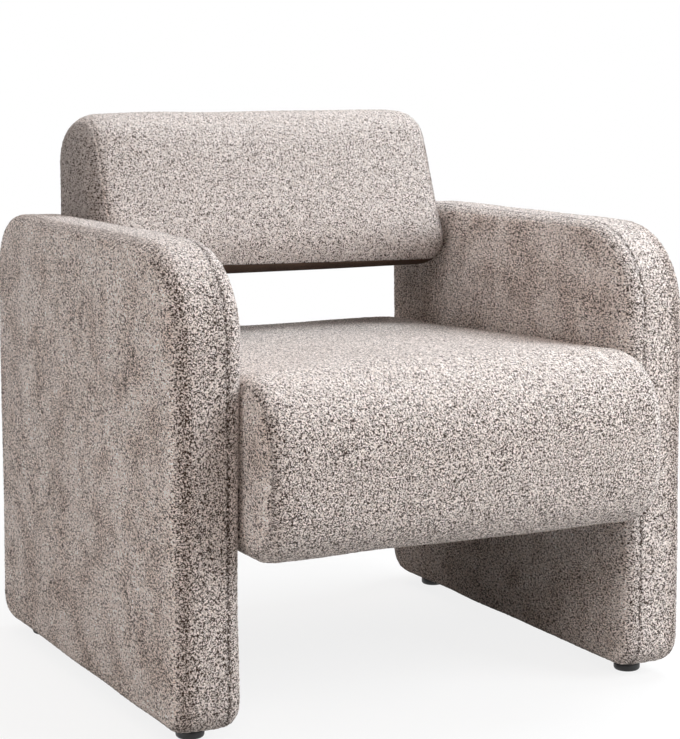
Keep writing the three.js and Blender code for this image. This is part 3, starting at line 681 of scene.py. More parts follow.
def weave_group():
    """A plain weave of two threads across x and y of its place, which is in metres."""
    group, entry, leave = new_group(
        "Plain Weave",
        [("Place", "NodeSocketVector", None),
         ("Thread", "NodeSocketFloat", 0.001),
         ("Warp", "NodeSocketColor", None),
         ("Weft", "NodeSocketColor", None)],
        SURFACE)
    wander = noise_node(group, entry["Place"], scale=60.0, detail=2.0)
    wander = vector_node(group, "SUBTRACT", wander.outputs["Color"], (0.5, 0.5, 0.5))
    place = vector_node(group, "ADD", entry["Place"], vector_node(group, "SCALE", wander, scale=0.0008))
    counted = vector_node(group, "SCALE", place, scale=math_node(group, "DIVIDE", 1.0, entry["Thread"]))
    across = split_node(group, counted)
    rounds = []
    numbers = []
    for axis in ("X", "Y"):
        part = math_node(group, "FRACT", across[axis])
        middle = math_node(group, "ABSOLUTE", math_node(group, "SUBTRACT", part, 0.5))
        rounds.append(ramp_node(group, middle, 0.5, 0.1))
        numbers.append(math_node(group, "FLOOR", across[axis]))
    over = math_node(group, "FLOORED_MODULO", math_node(group, "ADD", *numbers), 2.0)
    under = math_node(group, "SUBTRACT", 1.0, over)
    height = math_node(
        group, "ADD", math_node(group, "MULTIPLY", rounds[0], over),
        math_node(group, "MULTIPLY", rounds[1], under))
    fuzz = noise_node(group, entry["Place"], scale=900.0, detail=3.0, roughness=0.7)
    dust = noise_node(group, entry["Place"], scale=18.0, detail=4.0, roughness=0.6)
    shade = ramp_node(group, height, 0.0, 1.0, 0.55, 1.05)
    shade = math_node(group, "MULTIPLY", shade, ramp_node(group, fuzz.outputs[0], 0.3, 0.7, 0.85, 1.12))
    shade = math_node(group, "MULTIPLY", shade, ramp_node(group, dust.outputs[0], 0.3, 0.7, 0.90, 1.08))
    thread = mix_node(group, over, entry["Weft"], entry["Warp"])
    link(group, vector_node(group, "SCALE", thread, scale=shade), leave["Color"])
    link(group, ramp_node(group, fuzz.outputs[0], 0.3, 0.7, 0.82, 0.95), leave["Roughness"])
    link(group, height, leave["Height"])
    return group


def wood_group():
    """Softwood or veneer whose grain runs along z of its place, which is in metres."""
    group, entry, leave = new_group(
        "Wood Grain",
        [("Place", "NodeSocketVector", None),
         ("Ring Width", "NodeSocketFloat", 0.006),
         ("Early Wood", "NodeSocketColor", None),
         ("Late Wood", "NodeSocketColor", None)],
        SURFACE)
    lengthways = vector_node(group, "MULTIPLY", entry["Place"], (1.0, 1.0, 0.08))
    wander = noise_node(group, lengthways, scale=22.0, detail=3.0, roughness=0.55)
    flat = split_node(group, lengthways)
    spread = math_node(group, "ADD", flat["X"], math_node(group, "MULTIPLY", flat["Y"], 0.6))
    spread = math_node(group, "ADD", spread, math_node(group, "MULTIPLY", wander.outputs[0], 0.045))
    ring = math_node(group, "FRACT", math_node(group, "DIVIDE", spread, entry["Ring Width"]))
    late = math_node(
        group, "MULTIPLY", ramp_node(group, ring, 0.35, 0.92), ramp_node(group, ring, 1.0, 0.93))
    pores = noise_node(
        group, vector_node(group, "MULTIPLY", entry["Place"], (1.0, 1.0, 0.03)), scale=1400.0, detail=2.0)
    shade = ramp_node(group, pores.outputs[0], 0.3, 0.7, 0.90, 1.06)
    colour = mix_node(group, late, entry["Early Wood"], entry["Late Wood"])
    link(group, vector_node(group, "SCALE", colour, scale=shade), leave["Color"])
    link(group, ramp_node(group, late, 0.0, 1.0, 0.72, 0.58), leave["Roughness"])
    grooves = math_node(group, "MULTIPLY", pores.outputs[0], 0.6)
    link(group, math_node(group, "ADD", grooves, math_node(group, "MULTIPLY", late, 0.4)), leave["Height"])
    return group


def wear_group():
    """Metal or plastic with fine scratches and a soft, patchy bloom."""
    group, entry, leave = new_group(
        "Handled Surface",
        [("Place", "NodeSocketVector", None),
         ("Base", "NodeSocketColor", None),
         ("Bloom", "NodeSocketColor", None),
         ("Smoothest", "NodeSocketFloat", 0.25),
         ("Roughest", "NodeSocketFloat", 0.55),
         ("Grain", "NodeSocketFloat", 600.0)],
        SURFACE)
    patches = noise_node(group, entry["Place"], scale=85.0, detail=4.0, roughness=0.6)
    grain = noise_node(group, entry["Place"], scale=entry["Grain"])
    scratch_place = vector_node(group, "MULTIPLY", entry["Place"], (1.0, 1.0, 0.05))
    scratches = noise_node(group, scratch_place, scale=1800.0, detail=2.0)
    bloom = ramp_node(group, patches.outputs[0], 0.42, 0.68)
    colour = mix_node(group, bloom, entry["Base"], entry["Bloom"])
    shade = ramp_node(group, grain.outputs[0], 0.3, 0.7, 0.88, 1.10)
    link(group, vector_node(group, "SCALE", colour, scale=shade), leave["Color"])
    mixed = math_node(group, "ADD", patches.outputs[0], scratches.outputs[0])
    link(group, ramp_node(group, mixed, 0.7, 1.3, entry["Smoothest"], entry["Roughest"]), leave["Roughness"])
    lines = math_node(group, "MULTIPLY", scratches.outputs[0], 0.5)
    link(group, math_node(group, "ADD", grain.outputs[0], lines), leave["Height"])
    return group


def fibre_group():
    """Loose fibres or foam cells of several colours."""
    group, entry, leave = new_group(
        "Fibres",
        [("Place", "NodeSocketVector", None),
         ("Cell", "NodeSocketFloat", 0.0012),
         ("Pale", "NodeSocketColor", None),
         ("Dark", "NodeSocketColor", None),
         ("Fleck", "NodeSocketColor", None),
         ("Flecks", "NodeSocketFloat", 0.1)],
        SURFACE)
    per_metre = math_node(group, "DIVIDE", 1.0, entry["Cell"])
    counted = vector_node(group, "SCALE", entry["Place"], scale=per_metre)
    wander = noise_node(group, counted, scale=0.5, detail=3.0)
    bent = vector_node(group, "ADD", counted, vector_node(group, "SCALE", wander.outputs["Color"], scale=1.5))
    cell = cell_node(group, bent, scale=1.0)
    tints = group.nodes.new("ShaderNodeSeparateColor")
    link(group, cell.outputs["Color"], tints.inputs[0])
    hollow = ramp_node(group, cell.outputs["Distance"], 0.1, 0.75)
    colour = mix_node(group, hollow, entry["Pale"], entry["Dark"])
    flecked = ramp_node(group, tints.outputs[0], math_node(group, "SUBTRACT", 1.0, entry["Flecks"]), 1.0)
    colour = mix_node(group, flecked, colour, entry["Fleck"])
    cloud = noise_node(group, entry["Place"], scale=9.0, detail=3.0)
    shade = ramp_node(group, cloud.outputs[0], 0.3, 0.7, 0.90, 1.06)
    link(group, vector_node(group, "SCALE", colour, scale=shade), leave["Color"])
    link(group, ramp_node(group, hollow, 0.0, 1.0, 0.85, 0.98), leave["Roughness"])
    link(group, math_node(group, "SUBTRACT", 1.0, hollow), leave["Height"])
    return group


def turned_place(tree, place, longest):
    """The place with its longest axis turned to z, so that grain and threads follow the piece."""
    axes = split_node(tree, place)
    order = {"x": "YZX", "y": "XZY", "z": "XYZ"}[longest]
    joined = tree.nodes.new("ShaderNodeCombineXYZ")
    for target, source in zip("XYZ", order):
        link(tree, axes[source], joined.inputs[target])
    return joined.outputs[0]


def wood_material(name, group, longest, early, late, ring_width):
    """Bare wood whose grain runs along the longest axis."""
    _, tree, shader, place = new_material(f"{name}_{longest}")
    turned = turned_place(tree, place, longest)
    outputs = placed_group(
        tree, group, turned, Ring_Width=ring_width, Early_Wood=early, Late_Wood=late)
    surface_into(tree, shader, outputs, distance=0.0003)


def weave_material(name, group, longest, warp, weft, thread):
    """Woven cloth. Its threads run across the two axes that are not named."""
    _, tree, shader, place = new_material(f"{name}_{longest}")
    turned = turned_place(tree, place, longest)
    outputs = placed_group(tree, group, turned, Thread=thread, Warp=warp, Weft=weft)
    surface_into(tree, shader, outputs, distance=0.0004)
    shader.inputs["Specular IOR Level"].default_value = 0.2


def wear_material(name, group, base, bloom, smoothest, roughest, metallic, grain, bump):
    """Metal or moulded plastic."""
    _, tree, shader, place = new_material(name)
    outputs = placed_group(
        tree, group, place, Base=base, Bloom=bloom, Smoothest=smoothest, Roughest=roughest, Grain=grain)
    surface_into(tree, shader, outputs, distance=bump)
    shader.inputs["Metallic"].default_value = metallic


def fibre_material(name, group, pale, dark, fleck, flecks, cell):
    """Foam or felt."""
    _, tree, shader, place = new_material(name)
    outputs = placed_group(
        tree, group, place, Cell=cell, Pale=pale, Dark=dark, Fleck=fleck, Flecks=flecks)
    surface_into(tree, shader, outputs, distance=0.0006)
    shader.inputs["Specular IOR Level"].default_value = 0.2


# Mesh helpers

def rows_of(items, name):
    """One value of each item, as rows of x, y and z."""
    flat = np.empty(len(items) * 3)
    items.foreach_get(name, flat)
    return flat.reshape(-1, 3)


def coordinates(mesh):
    """The mesh's points as rows of x, y and z."""
    return rows_of(mesh.vertices, "co")


def set_coordinates(mesh, points):
    mesh.vertices.foreach_set("co", points.ravel())
    mesh.update()


def normals_of(mesh):
    """The outward direction at each point of the mesh."""
    return rows_of(mesh.vertex_normals, "vector")


def surface_area(mesh):
    """The area of all faces of the mesh."""
    areas = np.empty(len(mesh.polygons))
    mesh.polygons.foreach_get("area", areas)
    return float(areas.sum())


def show_mesh(name, mesh):
    """An object in the scene with that mesh."""
    piece = bpy.data.objects.new(name, mesh)
    bpy.context.scene.collection.objects.link(piece)
    return piece


def new_piece(name, shape):
    """An object in the scene from a bmesh, its faces turned outwards."""
    bmesh.ops.recalc_face_normals(shape, faces=shape.faces[:])
    mesh = bpy.data.meshes.new(name)
    shape.to_mesh(mesh)
    shape.free()
    return show_mesh(name, mesh)


def apply_modifiers(piece):
    """Gives the piece the mesh that its modifiers make, and takes them off."""
    depsgraph = bpy.context.evaluated_depsgraph_get()
    finished = bpy.data.meshes.new_from_object(piece.evaluated_get(depsgraph), depsgraph=depsgraph)
    piece.modifiers.clear()
    piece.data = finished
    finished.name = piece.name


def halve(piece):
    """Divides each face into four, smoothly."""
    finer = piece.modifiers.new("Finer", "SUBSURF")
    finer.levels = 1
    finer.render_levels = 1
    apply_modifiers(piece)


def thicken(piece, thickness, offset):
    """Gives a flat cloth its thickness, outwards where offset is 1 and to both sides where it is 0."""
    wall = piece.modifiers.new("Thickness", "SOLIDIFY")
    wall.thickness = thickness
    wall.offset = offset
    apply_modifiers(piece)


def finish_piece(piece, slot, material, *nodes):
    """Material, ride and the frame nodes that the piece stands for. The slot is not used."""
    piece.data.materials.clear()
    piece.data.materials.append(made_material(material))
    piece.data.shade_smooth()
    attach(piece, "root")
    if nodes:
        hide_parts(*nodes)


def rounded_outline(shape, corners, x, segments):
    """One flat face at x. Its corners are (y, z, radius), each rounded by a bevel."""
    points = [Vector((x, y, z)) for y, z, _ in corners]
    verts = [shape.verts.new(point) for point in points]
    shape.faces.new(verts)
    for place, vert in enumerate(verts):
        before = points[place - 1] - points[place]
        after = points[(place + 1) % len(points)] - points[place]
        reach = corners[place][2] / math.tan(before.angle(after) / 2)
        bmesh.ops.bevel(
            shape, geom=[vert], offset=reach, offset_type="OFFSET", segments=segments,
            profile=0.5, affect="VERTICES", material=-1)


def padded_block(name, corners, ends, edge_radius, segments=14, edge_segments=8):
    """A closed block: a rounded outline drawn out along X, with its end faces' edges rounded."""
    shape = bmesh.new()
    rounded_outline(shape, corners, ends[0], segments)
    grown = bmesh.ops.extrude_face_region(shape, geom=shape.faces[:])
    far = [item for item in grown["geom"] if isinstance(item, bmesh.types.BMVert)]
    bmesh.ops.translate(shape, verts=far, vec=(ends[1] - ends[0], 0, 0))
    bmesh.ops.recalc_face_normals(shape, faces=shape.faces[:])
    rims = [edge for edge in shape.edges if abs(edge.verts[0].co.x - edge.verts[1].co.x) < 1e-6]
    bmesh.ops.bevel(
        shape, geom=rims, offset=edge_radius, offset_type="OFFSET", segments=edge_segments,
        profile=0.5, affect="EDGES", clamp_overlap=False, material=-1)
    open_edges = [edge for edge in shape.edges if len(edge.link_faces) != 2]
    if open_edges:
        raise RuntimeError(f"{name}: the block has {len(open_edges)} open edges")
    return new_piece(name, shape)


def even_mesh(piece, step):
    """Rebuilds the piece's surface from even quads."""
    remesh = piece.modifiers.new("Even Mesh", "REMESH")
    remesh.mode = "VOXEL"
    remesh.voxel_size = step
    remesh.adaptivity = 0.0
    apply_modifiers(piece)


def inflate(rough, padding, held):
    """Runs the cloth solver on a rough cover with air inside. Returns how far each point moved."""
    rest = coordinates(rough.data)
    pins = rough.vertex_groups.new(name="held")
    pins.add([int(place) for place in held], 1.0, "REPLACE")
    cloth = rough.modifiers.new("Inflation", "CLOTH")
    settings = cloth.settings
    settings.quality = 4
    settings.mass = 0.3
    settings.tension_stiffness = 15
    settings.compression_stiffness = 15
    settings.shear_stiffness = 5
    settings.bending_stiffness = 0.5
    settings.use_pressure = True
    settings.uniform_pressure_force = padding.pressure
    settings.vertex_group_mass = "held"
    settings.effector_weights.gravity = 0
    cloth.point_cache.frame_start = 1
    cloth.point_cache.frame_end = padding.frames
    scene = bpy.context.scene
    for step in range(1, padding.frames + 1):
        scene.frame_set(step)
    depsgraph = bpy.context.evaluated_depsgraph_get()
    blown = coordinates(rough.evaluated_get(depsgraph).data)
    scene.frame_set(1)
    return blown - rest


def swell_cover(piece, seams, rigid, swell):
    """Blows up a rough copy of the cover and moves the cover's points as the copy's moved.

    The cover is held along its seams and where it faces a rigid board, and the greatest move is swell.
    """
    padding = bpy.context.scene.chair_padding
    rough = show_mesh(f"{piece.name}_rough", piece.data.copy())
    even_mesh(rough, padding.solver_voxel)
    points = coordinates(rough.data)
    places = np.array(list(seams))
    held_width = padding.solver_voxel * 0.75
    flat_against = 0.85
    at_seam = np.abs(points[:, :1] - places[None, :]).min(axis=1) < held_width
    at_board = (normals_of(rough.data) @ np.array(rigid, float).T).max(axis=1) > flat_against
    moved = inflate(rough, padding, np.flatnonzero(at_seam | at_board))
    reach = np.linalg.norm(moved, axis=1).max()
    print(f"{piece.name}: the cloth moved {reach * 1000:.1f} mm and is scaled to {swell * 1000:.1f} mm")
    moved *= swell / max(reach, 1e-9)
    near = KDTree(len(points))
    for number, point in enumerate(points):
        near.insert(point, number)
    near.balance()
    softening = (padding.solver_voxel / 2) ** 2
    neighbours = 8
    own = coordinates(piece.data)
    follow = np.empty((len(own), neighbours), int)
    weight = np.empty((len(own), neighbours))
    for number, point in enumerate(own):
        for place, (_, found, distance) in enumerate(near.find_n(point, neighbours)):
            follow[number, place] = found
            weight[number, place] = 1.0 / (distance ** 2 + softening)
    weight /= weight.sum(axis=1, keepdims=True)
    set_coordinates(piece.data, own + (moved[follow] * weight[:, :, None]).sum(axis=1))
    bpy.data.objects.remove(rough)


def soften(piece, height, seed):
    """Moves the surface in and out a little over broad patches, as padding does."""
    points = coordinates(piece.data)
    draw = np.random.default_rng(seed)
    rise = np.zeros(len(points))
    waves = 9
    for _ in range(waves):
        direction = draw.normal(size=3)
        direction /= np.linalg.norm(direction)
        pitch = PATCH_SIZE * draw.uniform(0.7, 1.6)
        rise += np.sin(points @ direction * (2 * math.pi / pitch) + draw.uniform(0, 2 * math.pi))
    rise *= height / math.sqrt(waves)
    set_coordinates(piece.data, points + normals_of(piece.data) * rise[:, None])


def keep_within(piece, limits, slack=0.0):
    """Presses the piece flat where it would pass its lowest or highest corner by more than slack."""
    low, high = limits
    spare = Vector((slack, slack, 0))
    set_coordinates(piece.data, coordinates(piece.data).clip(tuple(low - spare), tuple(high + spare)))


def bulge(piece, centre, reach, height):
    """Pushes the surface out round a place. The push fades over reach in x, y and z."""
    points = coordinates(piece.data)
    fade = np.exp(-(((points - np.array(centre)) / np.array(reach)) ** 2).sum(axis=1))
    set_coordinates(piece.data, points + normals_of(piece.data) * (fade * height)[:, None])


def press_bed(piece, node, cloth):
    """Presses a shallow bed into the cover's underside, in which the base cloth lies."""
    low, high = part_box(node)
    points = coordinates(piece.data)
    inside = np.ones(len(points))
    edge = 0.003
    facing_down = -0.9
    for axis in (0, 1):
        from_low = (points[:, axis] - low[axis] + cloth.margin) / edge
        from_high = (high[axis] + cloth.margin - points[:, axis]) / edge
        inside *= np.clip(np.minimum(from_low, from_high) + 0.5, 0, 1)
    inside *= normals_of(piece.data)[:, 2] < facing_down
    points[:, 2] += inside * cloth.recess
    set_coordinates(piece.data, points)


def cut_at(shape, place, outward, merge, clear_outer=False):
    """Cuts the bmesh with a plane. Points that are nearer to the plane than merge lie on it."""
    bmesh.ops.bisect_plane(
        shape, geom=shape.verts[:] + shape.edges[:] + shape.faces[:], dist=merge, plane_co=place,
        plane_no=outward, clear_outer=clear_outer)


def cut_along(piece, seams):
    """Cuts the mesh at the seams' X planes, so that each seam has a clean line of points."""
    shape = bmesh.new()
    shape.from_mesh(piece.data)
    for seam in seams:
        cut_at(shape, (seam, 0, 0), (1, 0, 0), merge=0.0003)
    shape.to_mesh(piece.data)
    shape.free()


def store(mesh, name, values):
    """Keeps one number for each point of the mesh, which a material can read."""
    mesh.attributes.new(name, "FLOAT", "POINT").data.foreach_set("value", values.astype(np.float32))


def sew(piece, seams, padding, nap):
    """Creases the cover along its seams, and stores where stitches, open nubs and side panels are.

    The nubs can open up beside a seam, where the cloth bends round the edge, and there they are painted
    darker and browner, partly as shade on the rounded edge. A nap above 0 closes them everywhere.
    """
    points = coordinates(piece.data)
    outwards = normals_of(piece.data)
    places = np.array(list(seams))
    offsets = points[:, :1] - places[None, :]
    nearest = np.abs(offsets).argmin(axis=1)
    distance = offsets[np.arange(len(points)), nearest]
    crease, panel, panel_start, open_nubs = np.array(list(seams.values()))[nearest].T
    # The stitching also darkens the seam in the material, partly as painted shade in the crease
    stitching = np.exp(-(distance / padding.seam_width) ** 2) * crease
    set_coordinates(piece.data, points - outwards * (stitching * padding.seam_depth)[:, None])
    store(piece.data, "stitching", stitching)
    share = ((np.abs(outwards[:, 0]) - panel_start) / PANEL_FADE).clip(0, 1)
    store(piece.data, "side_panel", share * share * (3 - 2 * share) * panel)
    opened = np.exp(-(distance / padding.seam_spread) ** 2) * open_nubs
    store(piece.data, "opened", opened - nap)


def raise_nubs(piece, cloth):
    """Lifts the nubs of the cloth out of the mesh."""
    group = bpy.data.node_groups["Nub Relief"]
    nubs = piece.modifiers.new("Nubs", "NODES")
    nubs.node_group = group
    names = {item.name: item.identifier for item in group.interface.items_tree if item.in_out == "INPUT"}
    nubs[names["Nub Size"]] = cloth.nub * RELIEF_GROWTH
    nubs[names["Relief"]] = cloth.relief
    apply_modifiers(piece)


def fill_cover(piece, seams, rigid, swell):
    """Gives a plain block an even mesh and the swell of its padding."""
    padding = bpy.context.scene.chair_padding
    even_mesh(piece, max(padding.voxel, math.sqrt(surface_area(piece.data) / padding.faces)))
    swell_cover(piece, seams, rigid, swell)


def sew_cover(piece, node, seams, limits, seed, bed=None, bulges=(), nap=0.0):
    """Turns a filled block into a sewn cover of nubby cloth. Returns its mesh from before the nubs.

    seams gives each seam's look by its X. Each bulge is a centre, a reach and a height.
    """
    scene = bpy.context.scene
    padding = scene.chair_padding
    soften(piece, padding.unevenness, seed)
    keep_within(piece, limits)
    slack = 0.0
    for centre, reach, height in bulges:
        bulge(piece, centre, reach, height)
        slack = max(slack, height)
    halve(piece)
    if bed is not None:
        press_bed(piece, bed, scene.chair_cloth)
    cut_along(piece, seams)
    sew(piece, seams, padding, nap)
    smooth_mesh = piece.data.copy()
    raise_nubs(piece, scene.chair_boucle)
    keep_within(piece, limits, slack)
    finish_piece(piece, "boucle", "boucle", node)
    return smooth_mesh


def grown_box(node, front, top, rear=0.0):
    """The node's lowest and highest corners, let out at its front, top and rear."""
    low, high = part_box(node)
    return Vector((low.x, low.y - front, low.z)), Vector((high.x, high.y + rear, high.z + top))


# Operators

class CHAIR_OT_materials(bpy.types.Operator):
    """Makes the boucle, the plain cloths and the finishes of the frame"""

    bl_idname = "chair.materials"
    bl_label = "Make Materials"

    def execute(self, context):
        cloth = context.scene.chair_boucle
        relief_group()
        boucle_material(boucle_group(), cloth)
        wood = wood_group()
        weave = weave_group()
        for axis in "xyz":
            wood_material(
                "pine", wood, axis, early=(0.70, 0.52, 0.31), late=(0.52, 0.31, 0.14), ring_width=0.0052)
            wood_material(
                "plywood", wood, axis, early=(0.62, 0.45, 0.27), late=(0.50, 0.33, 0.17),
                ring_width=0.0110)
        weave_material(
            "lining", weave, "z", warp=(0.125, 0.078, 0.055), weft=(0.098, 0.062, 0.045), thread=0.0007)
        weave_material(
            "strapping", weave, "y", warp=(0.050, 0.045, 0.040), weft=(0.030, 0.028, 0.027),
            thread=0.0016)
        wear = wear_group()
        wear_material(
            "spring_steel", wear, base=(0.20, 0.21, 0.22), bloom=(0.11, 0.115, 0.12), smoothest=0.25,
            roughest=0.48, metallic=1.0, grain=900, bump=0.0001)
        wear_material(
            "zinc_steel", wear, base=(0.55, 0.56, 0.58), bloom=(0.42, 0.43, 0.44), smoothest=0.22,
            roughest=0.45, metallic=1.0, grain=500, bump=0.0001)
        wear_material(
            "black_plastic", wear, base=(0.016, 0.016, 0.017), bloom=(0.030, 0.029, 0.028),
            smoothest=0.38, roughest=0.62, metallic=0.0, grain=1500, bump=0.00015)
        fibres = fibre_group()
        fibre_material(
            "foam", fibres, pale=(0.78, 0.70, 0.47), dark=(0.60, 0.51, 0.31),
            fleck=(0.80, 0.74, 0.55), flecks=0.15, cell=0.0011)
        fibre_material(
            "felt", fibres, pale=(0.30, 0.28, 0.26), dark=(0.17, 0.16, 0.15),
            fleck=(0.42, 0.22, 0.16), flecks=0.22, cell=0.0016)
        return {"FINISHED"}


class CHAIR_OT_frame_finishes(bpy.types.Operator):
    """Gives the boards, posts, rails, springs, straps and bolts their materials"""

    bl_idname = "chair.frame_finishes"
    bl_label = "Finish Frame"

    def execute(self, context):
        for name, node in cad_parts.items():
            words = [word for word in name.split("_") if word in FINISHES]
            if not words:
                continue
            low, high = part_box(name)
            sizes = high - low
            longest = "xyz"[max(range(3), key=lambda axis: sizes[axis])]
            finish = FINISHES[words[-1]]
            if finish in ("pine", "plywood"):
                finish = f"{finish}_{longest}"
            elif finish == "strapping":
                finish = "strapping_y"
            node.data.materials.clear()
            node.data.materials.append(made_material(finish))
        return {"FINISHED"}


class CHAIR_OT_foams(bpy.types.Operator):
    """Replaces the frame's foam and felt with cut foam whose edges are eased"""

    bl_idname = "chair.foams"
    bl_label = "Cut Foams"

    def execute(self, context):
        padding = context.scene.chair_padding
        for name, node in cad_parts.items():
            kind = name.split("_")[-1]
            if kind not in ("foam", "felt"):
                continue
            shape = bmesh.new()
            shape.from_mesh(node.data)
            bmesh.ops.remove_doubles(shape, verts=shape.verts[:], dist=0.00002)
            bmesh.ops.dissolve_limit(
                shape, angle_limit=math.radians(1.0), use_dissolve_boundaries=False,
                verts=shape.verts[:], edges=shape.edges[:])
            bmesh.ops.triangulate(shape, faces=[face for face in shape.faces if len(face.verts) > 4])
            mesh = bpy.data.meshes.new(name)
            shape.to_mesh(mesh)
            shape.free()
            piece = show_mesh(name.replace("foam", "padding").replace("felt", "felt_pad"), mesh)
            thick = name in ("seat_foam", "back_foam")
            slack = padding.block_slack if thick else padding.foam_slack
            set_coordinates(mesh, coordinates(mesh) - normals_of(mesh) * slack)
            eased = piece.modifiers.new("Eased Edges", "BEVEL")
            eased.width = padding.foam_edge
            eased.segments = 2
            eased.limit_method = "ANGLE"
            eased.angle_limit = math.radians(40)
            apply_modifiers(piece)
            finish_piece(piece, kind, kind, name)
        return {"FINISHED"}


class CHAIR_OT_arms(bpy.types.Operator):
    """Upholsters both arms with side panels, a boxing strip and the seams between them"""

    bl_idname = "chair.arms"
    bl_label = "Upholster Arms"

    def execute(self, context):
        arm = context.scene.chair_arm
        low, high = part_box("left_arm_cover")
        corners = [
            (low.y, low.z, arm.foot_radius),
            (high.y, low.z, arm.foot_radius),
            (high.y, high.z, arm.top_rear_radius),
            (low.y, high.z, arm.top_front_radius),
        ]
        seams = {
            # The outer seam's open nubs are partly painted shade on the rounded edge
            low.x + arm.outer_seam: SeamLook(crease=0.2, panel=1.0, panel_start=0.72, open_nubs=0.6),
            # The inner panel's look of 1.15 paints it a little darker, as shade
            high.x - arm.inner_seam: SeamLook(crease=1.0, panel=1.15, panel_start=0.72, open_nubs=0.0)}
        left = padded_block("left_arm_upholstery", corners, (low.x + arm.swell, high.x), arm.edge_radius)
        fill_cover(left, seams, [DOWN], arm.swell)
        right = show_mesh("right_arm_upholstery", left.data.copy())
        right.data.transform(Matrix.Diagonal((-1, 1, 1, 1)))
        right.data.flip_normals()
        for number, (hand, piece) in enumerate(zip(HANDS, (left, right))):
            mirror = -HANDS[hand]
            node = f"{hand}_arm_cover"
            own_seams = {mirror * place: look for place, look in seams.items()}
            limits = grown_box(node, front=SWELL_ROOM, top=SWELL_ROOM, rear=SWELL_ROOM)
            shoulder = ((mirror * high.x, low.y, arm.bulge_height), SHOULDER_REACH, arm.bulge)
            sew_cover(
                piece, node, own_seams, limits, seed=number + 1, bed=f"{hand}_arm_base_cloth",
                bulges=[shoulder])
        return {"FINISHED"}


class CHAIR_OT_seat(bpy.types.Operator):
    """Upholsters the seat block with its round nose"""

    bl_idname = "chair.seat"
    bl_label = "Upholster Seat"

    def execute(self, context):
        seat = context.scene.chair_seat
        low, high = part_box("seat_cover")
        front = low.y + seat.front_inset
        corners = [
            (front, low.z, seat.nose_foot_radius),
            (high.y, low.z, seat.rear_radius),
            (high.y, seat.rear_height, seat.rear_radius),
            (front, seat.front_height, seat.nose_top_radius),
        ]
        # A panel look of 1.05 paints the seat's ends slightly darker, as shade
        look = SeamLook(crease=0.45, panel=1.05, panel_start=0.78, open_nubs=0.0)
        seams = {low.x + seat.seam_inset: look, high.x - seat.seam_inset: look}
        piece = padded_block("seat_upholstery", corners, (low.x, high.x), seat.edge_radius)
        fill_cover(piece, seams, [DOWN, REARWARDS], seat.swell)
        limits = grown_box("seat_cover", front=SWELL_ROOM, top=SWELL_ROOM)
        middle = (low.z + high.z) / 2
        ends = [((x, low.y, middle), SEAT_END_REACH, seat.end_bulge) for x in (low.x, high.x)]
        sew_cover(piece, "seat_cover", seams, limits, seed=5, bed="seat_base_cloth", bulges=ends)
        return {"FINISHED"}


class CHAIR_OT_back(bpy.types.Operator):
    """Upholsters the wedge back rest and its smooth bottom panel"""

    bl_idname = "chair.back"
    bl_label = "Upholster Back Rest"

    def execute(self, context):
        back = context.scene.chair_back
        low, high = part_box("back_cover")
        corners = [
            (high.y - back.foot_depth, back.foot_height + back.front_lift, back.foot_front_radius),
            (high.y, back.foot_height, back.foot_rear_radius),
            (high.y, back.crest_height, back.crest_rear_radius),
            (high.y - back.crest_depth, back.crest_height, back.crest_front_radius),
        ]
        # The end panels' look of 1.65 paints them darker as shade, and the open nubs beside the seams are
        # partly painted shade
        look = SeamLook(crease=0.4, panel=1.65, panel_start=0.52, open_nubs=0.2)
        seams = {low.x + back.seam_inset: look, high.x - back.seam_inset: look}
        piece = padded_block("back_upholstery", corners, (low.x, high.x), back.end_radius)
        fill_cover(piece, seams, [DOWN, REARWARDS], back.swell)
        limits = grown_box("back_cover", front=SWELL_ROOM, top=SWELL_ROOM, rear=0.001)
        plain = sew_cover(piece, "back_cover", seams, limits, seed=9, nap=0.7)
        self.add_panel(context.scene.chair_cloth, back, plain, high.y)
        return {"FINISHED"}

    def add_panel(self, cloth, back, plain, rear):
        """The smooth panel follows the cover's underside and climbs its front edge a little."""
        half = cloth.panel_width / 2
        trims = [
            ((half, 0, 0), (1, 0, 0)),
            ((-half, 0, 0), (-1, 0, 0)),
            ((0, rear - cloth.panel_rear_gap, 0), (0, 1, 0)),
            ((0, 0, back.foot_height + cloth.panel_rise), (cloth.panel_slope, 0, 1)),
        ]
        shape = bmesh.new()
        shape.from_mesh(plain)
        for place, outward in trims:
            cut_at(shape, place, outward, merge=0.0002, clear_outer=True)
        panel = show_mesh("back_underside_panel", bpy.data.meshes.new("back_underside_panel"))
        shape.to_mesh(panel.data)
        shape.free()
        clearance = 0.0006
        points = coordinates(panel.data)
        set_coordinates(panel.data, points + normals_of(panel.data) * clearance)
        area = surface_area(panel.data)
        thicken(panel, cloth.thickness, offset=1)
        finish_piece(panel, "lining", "lining_z", "back_base_cloth")


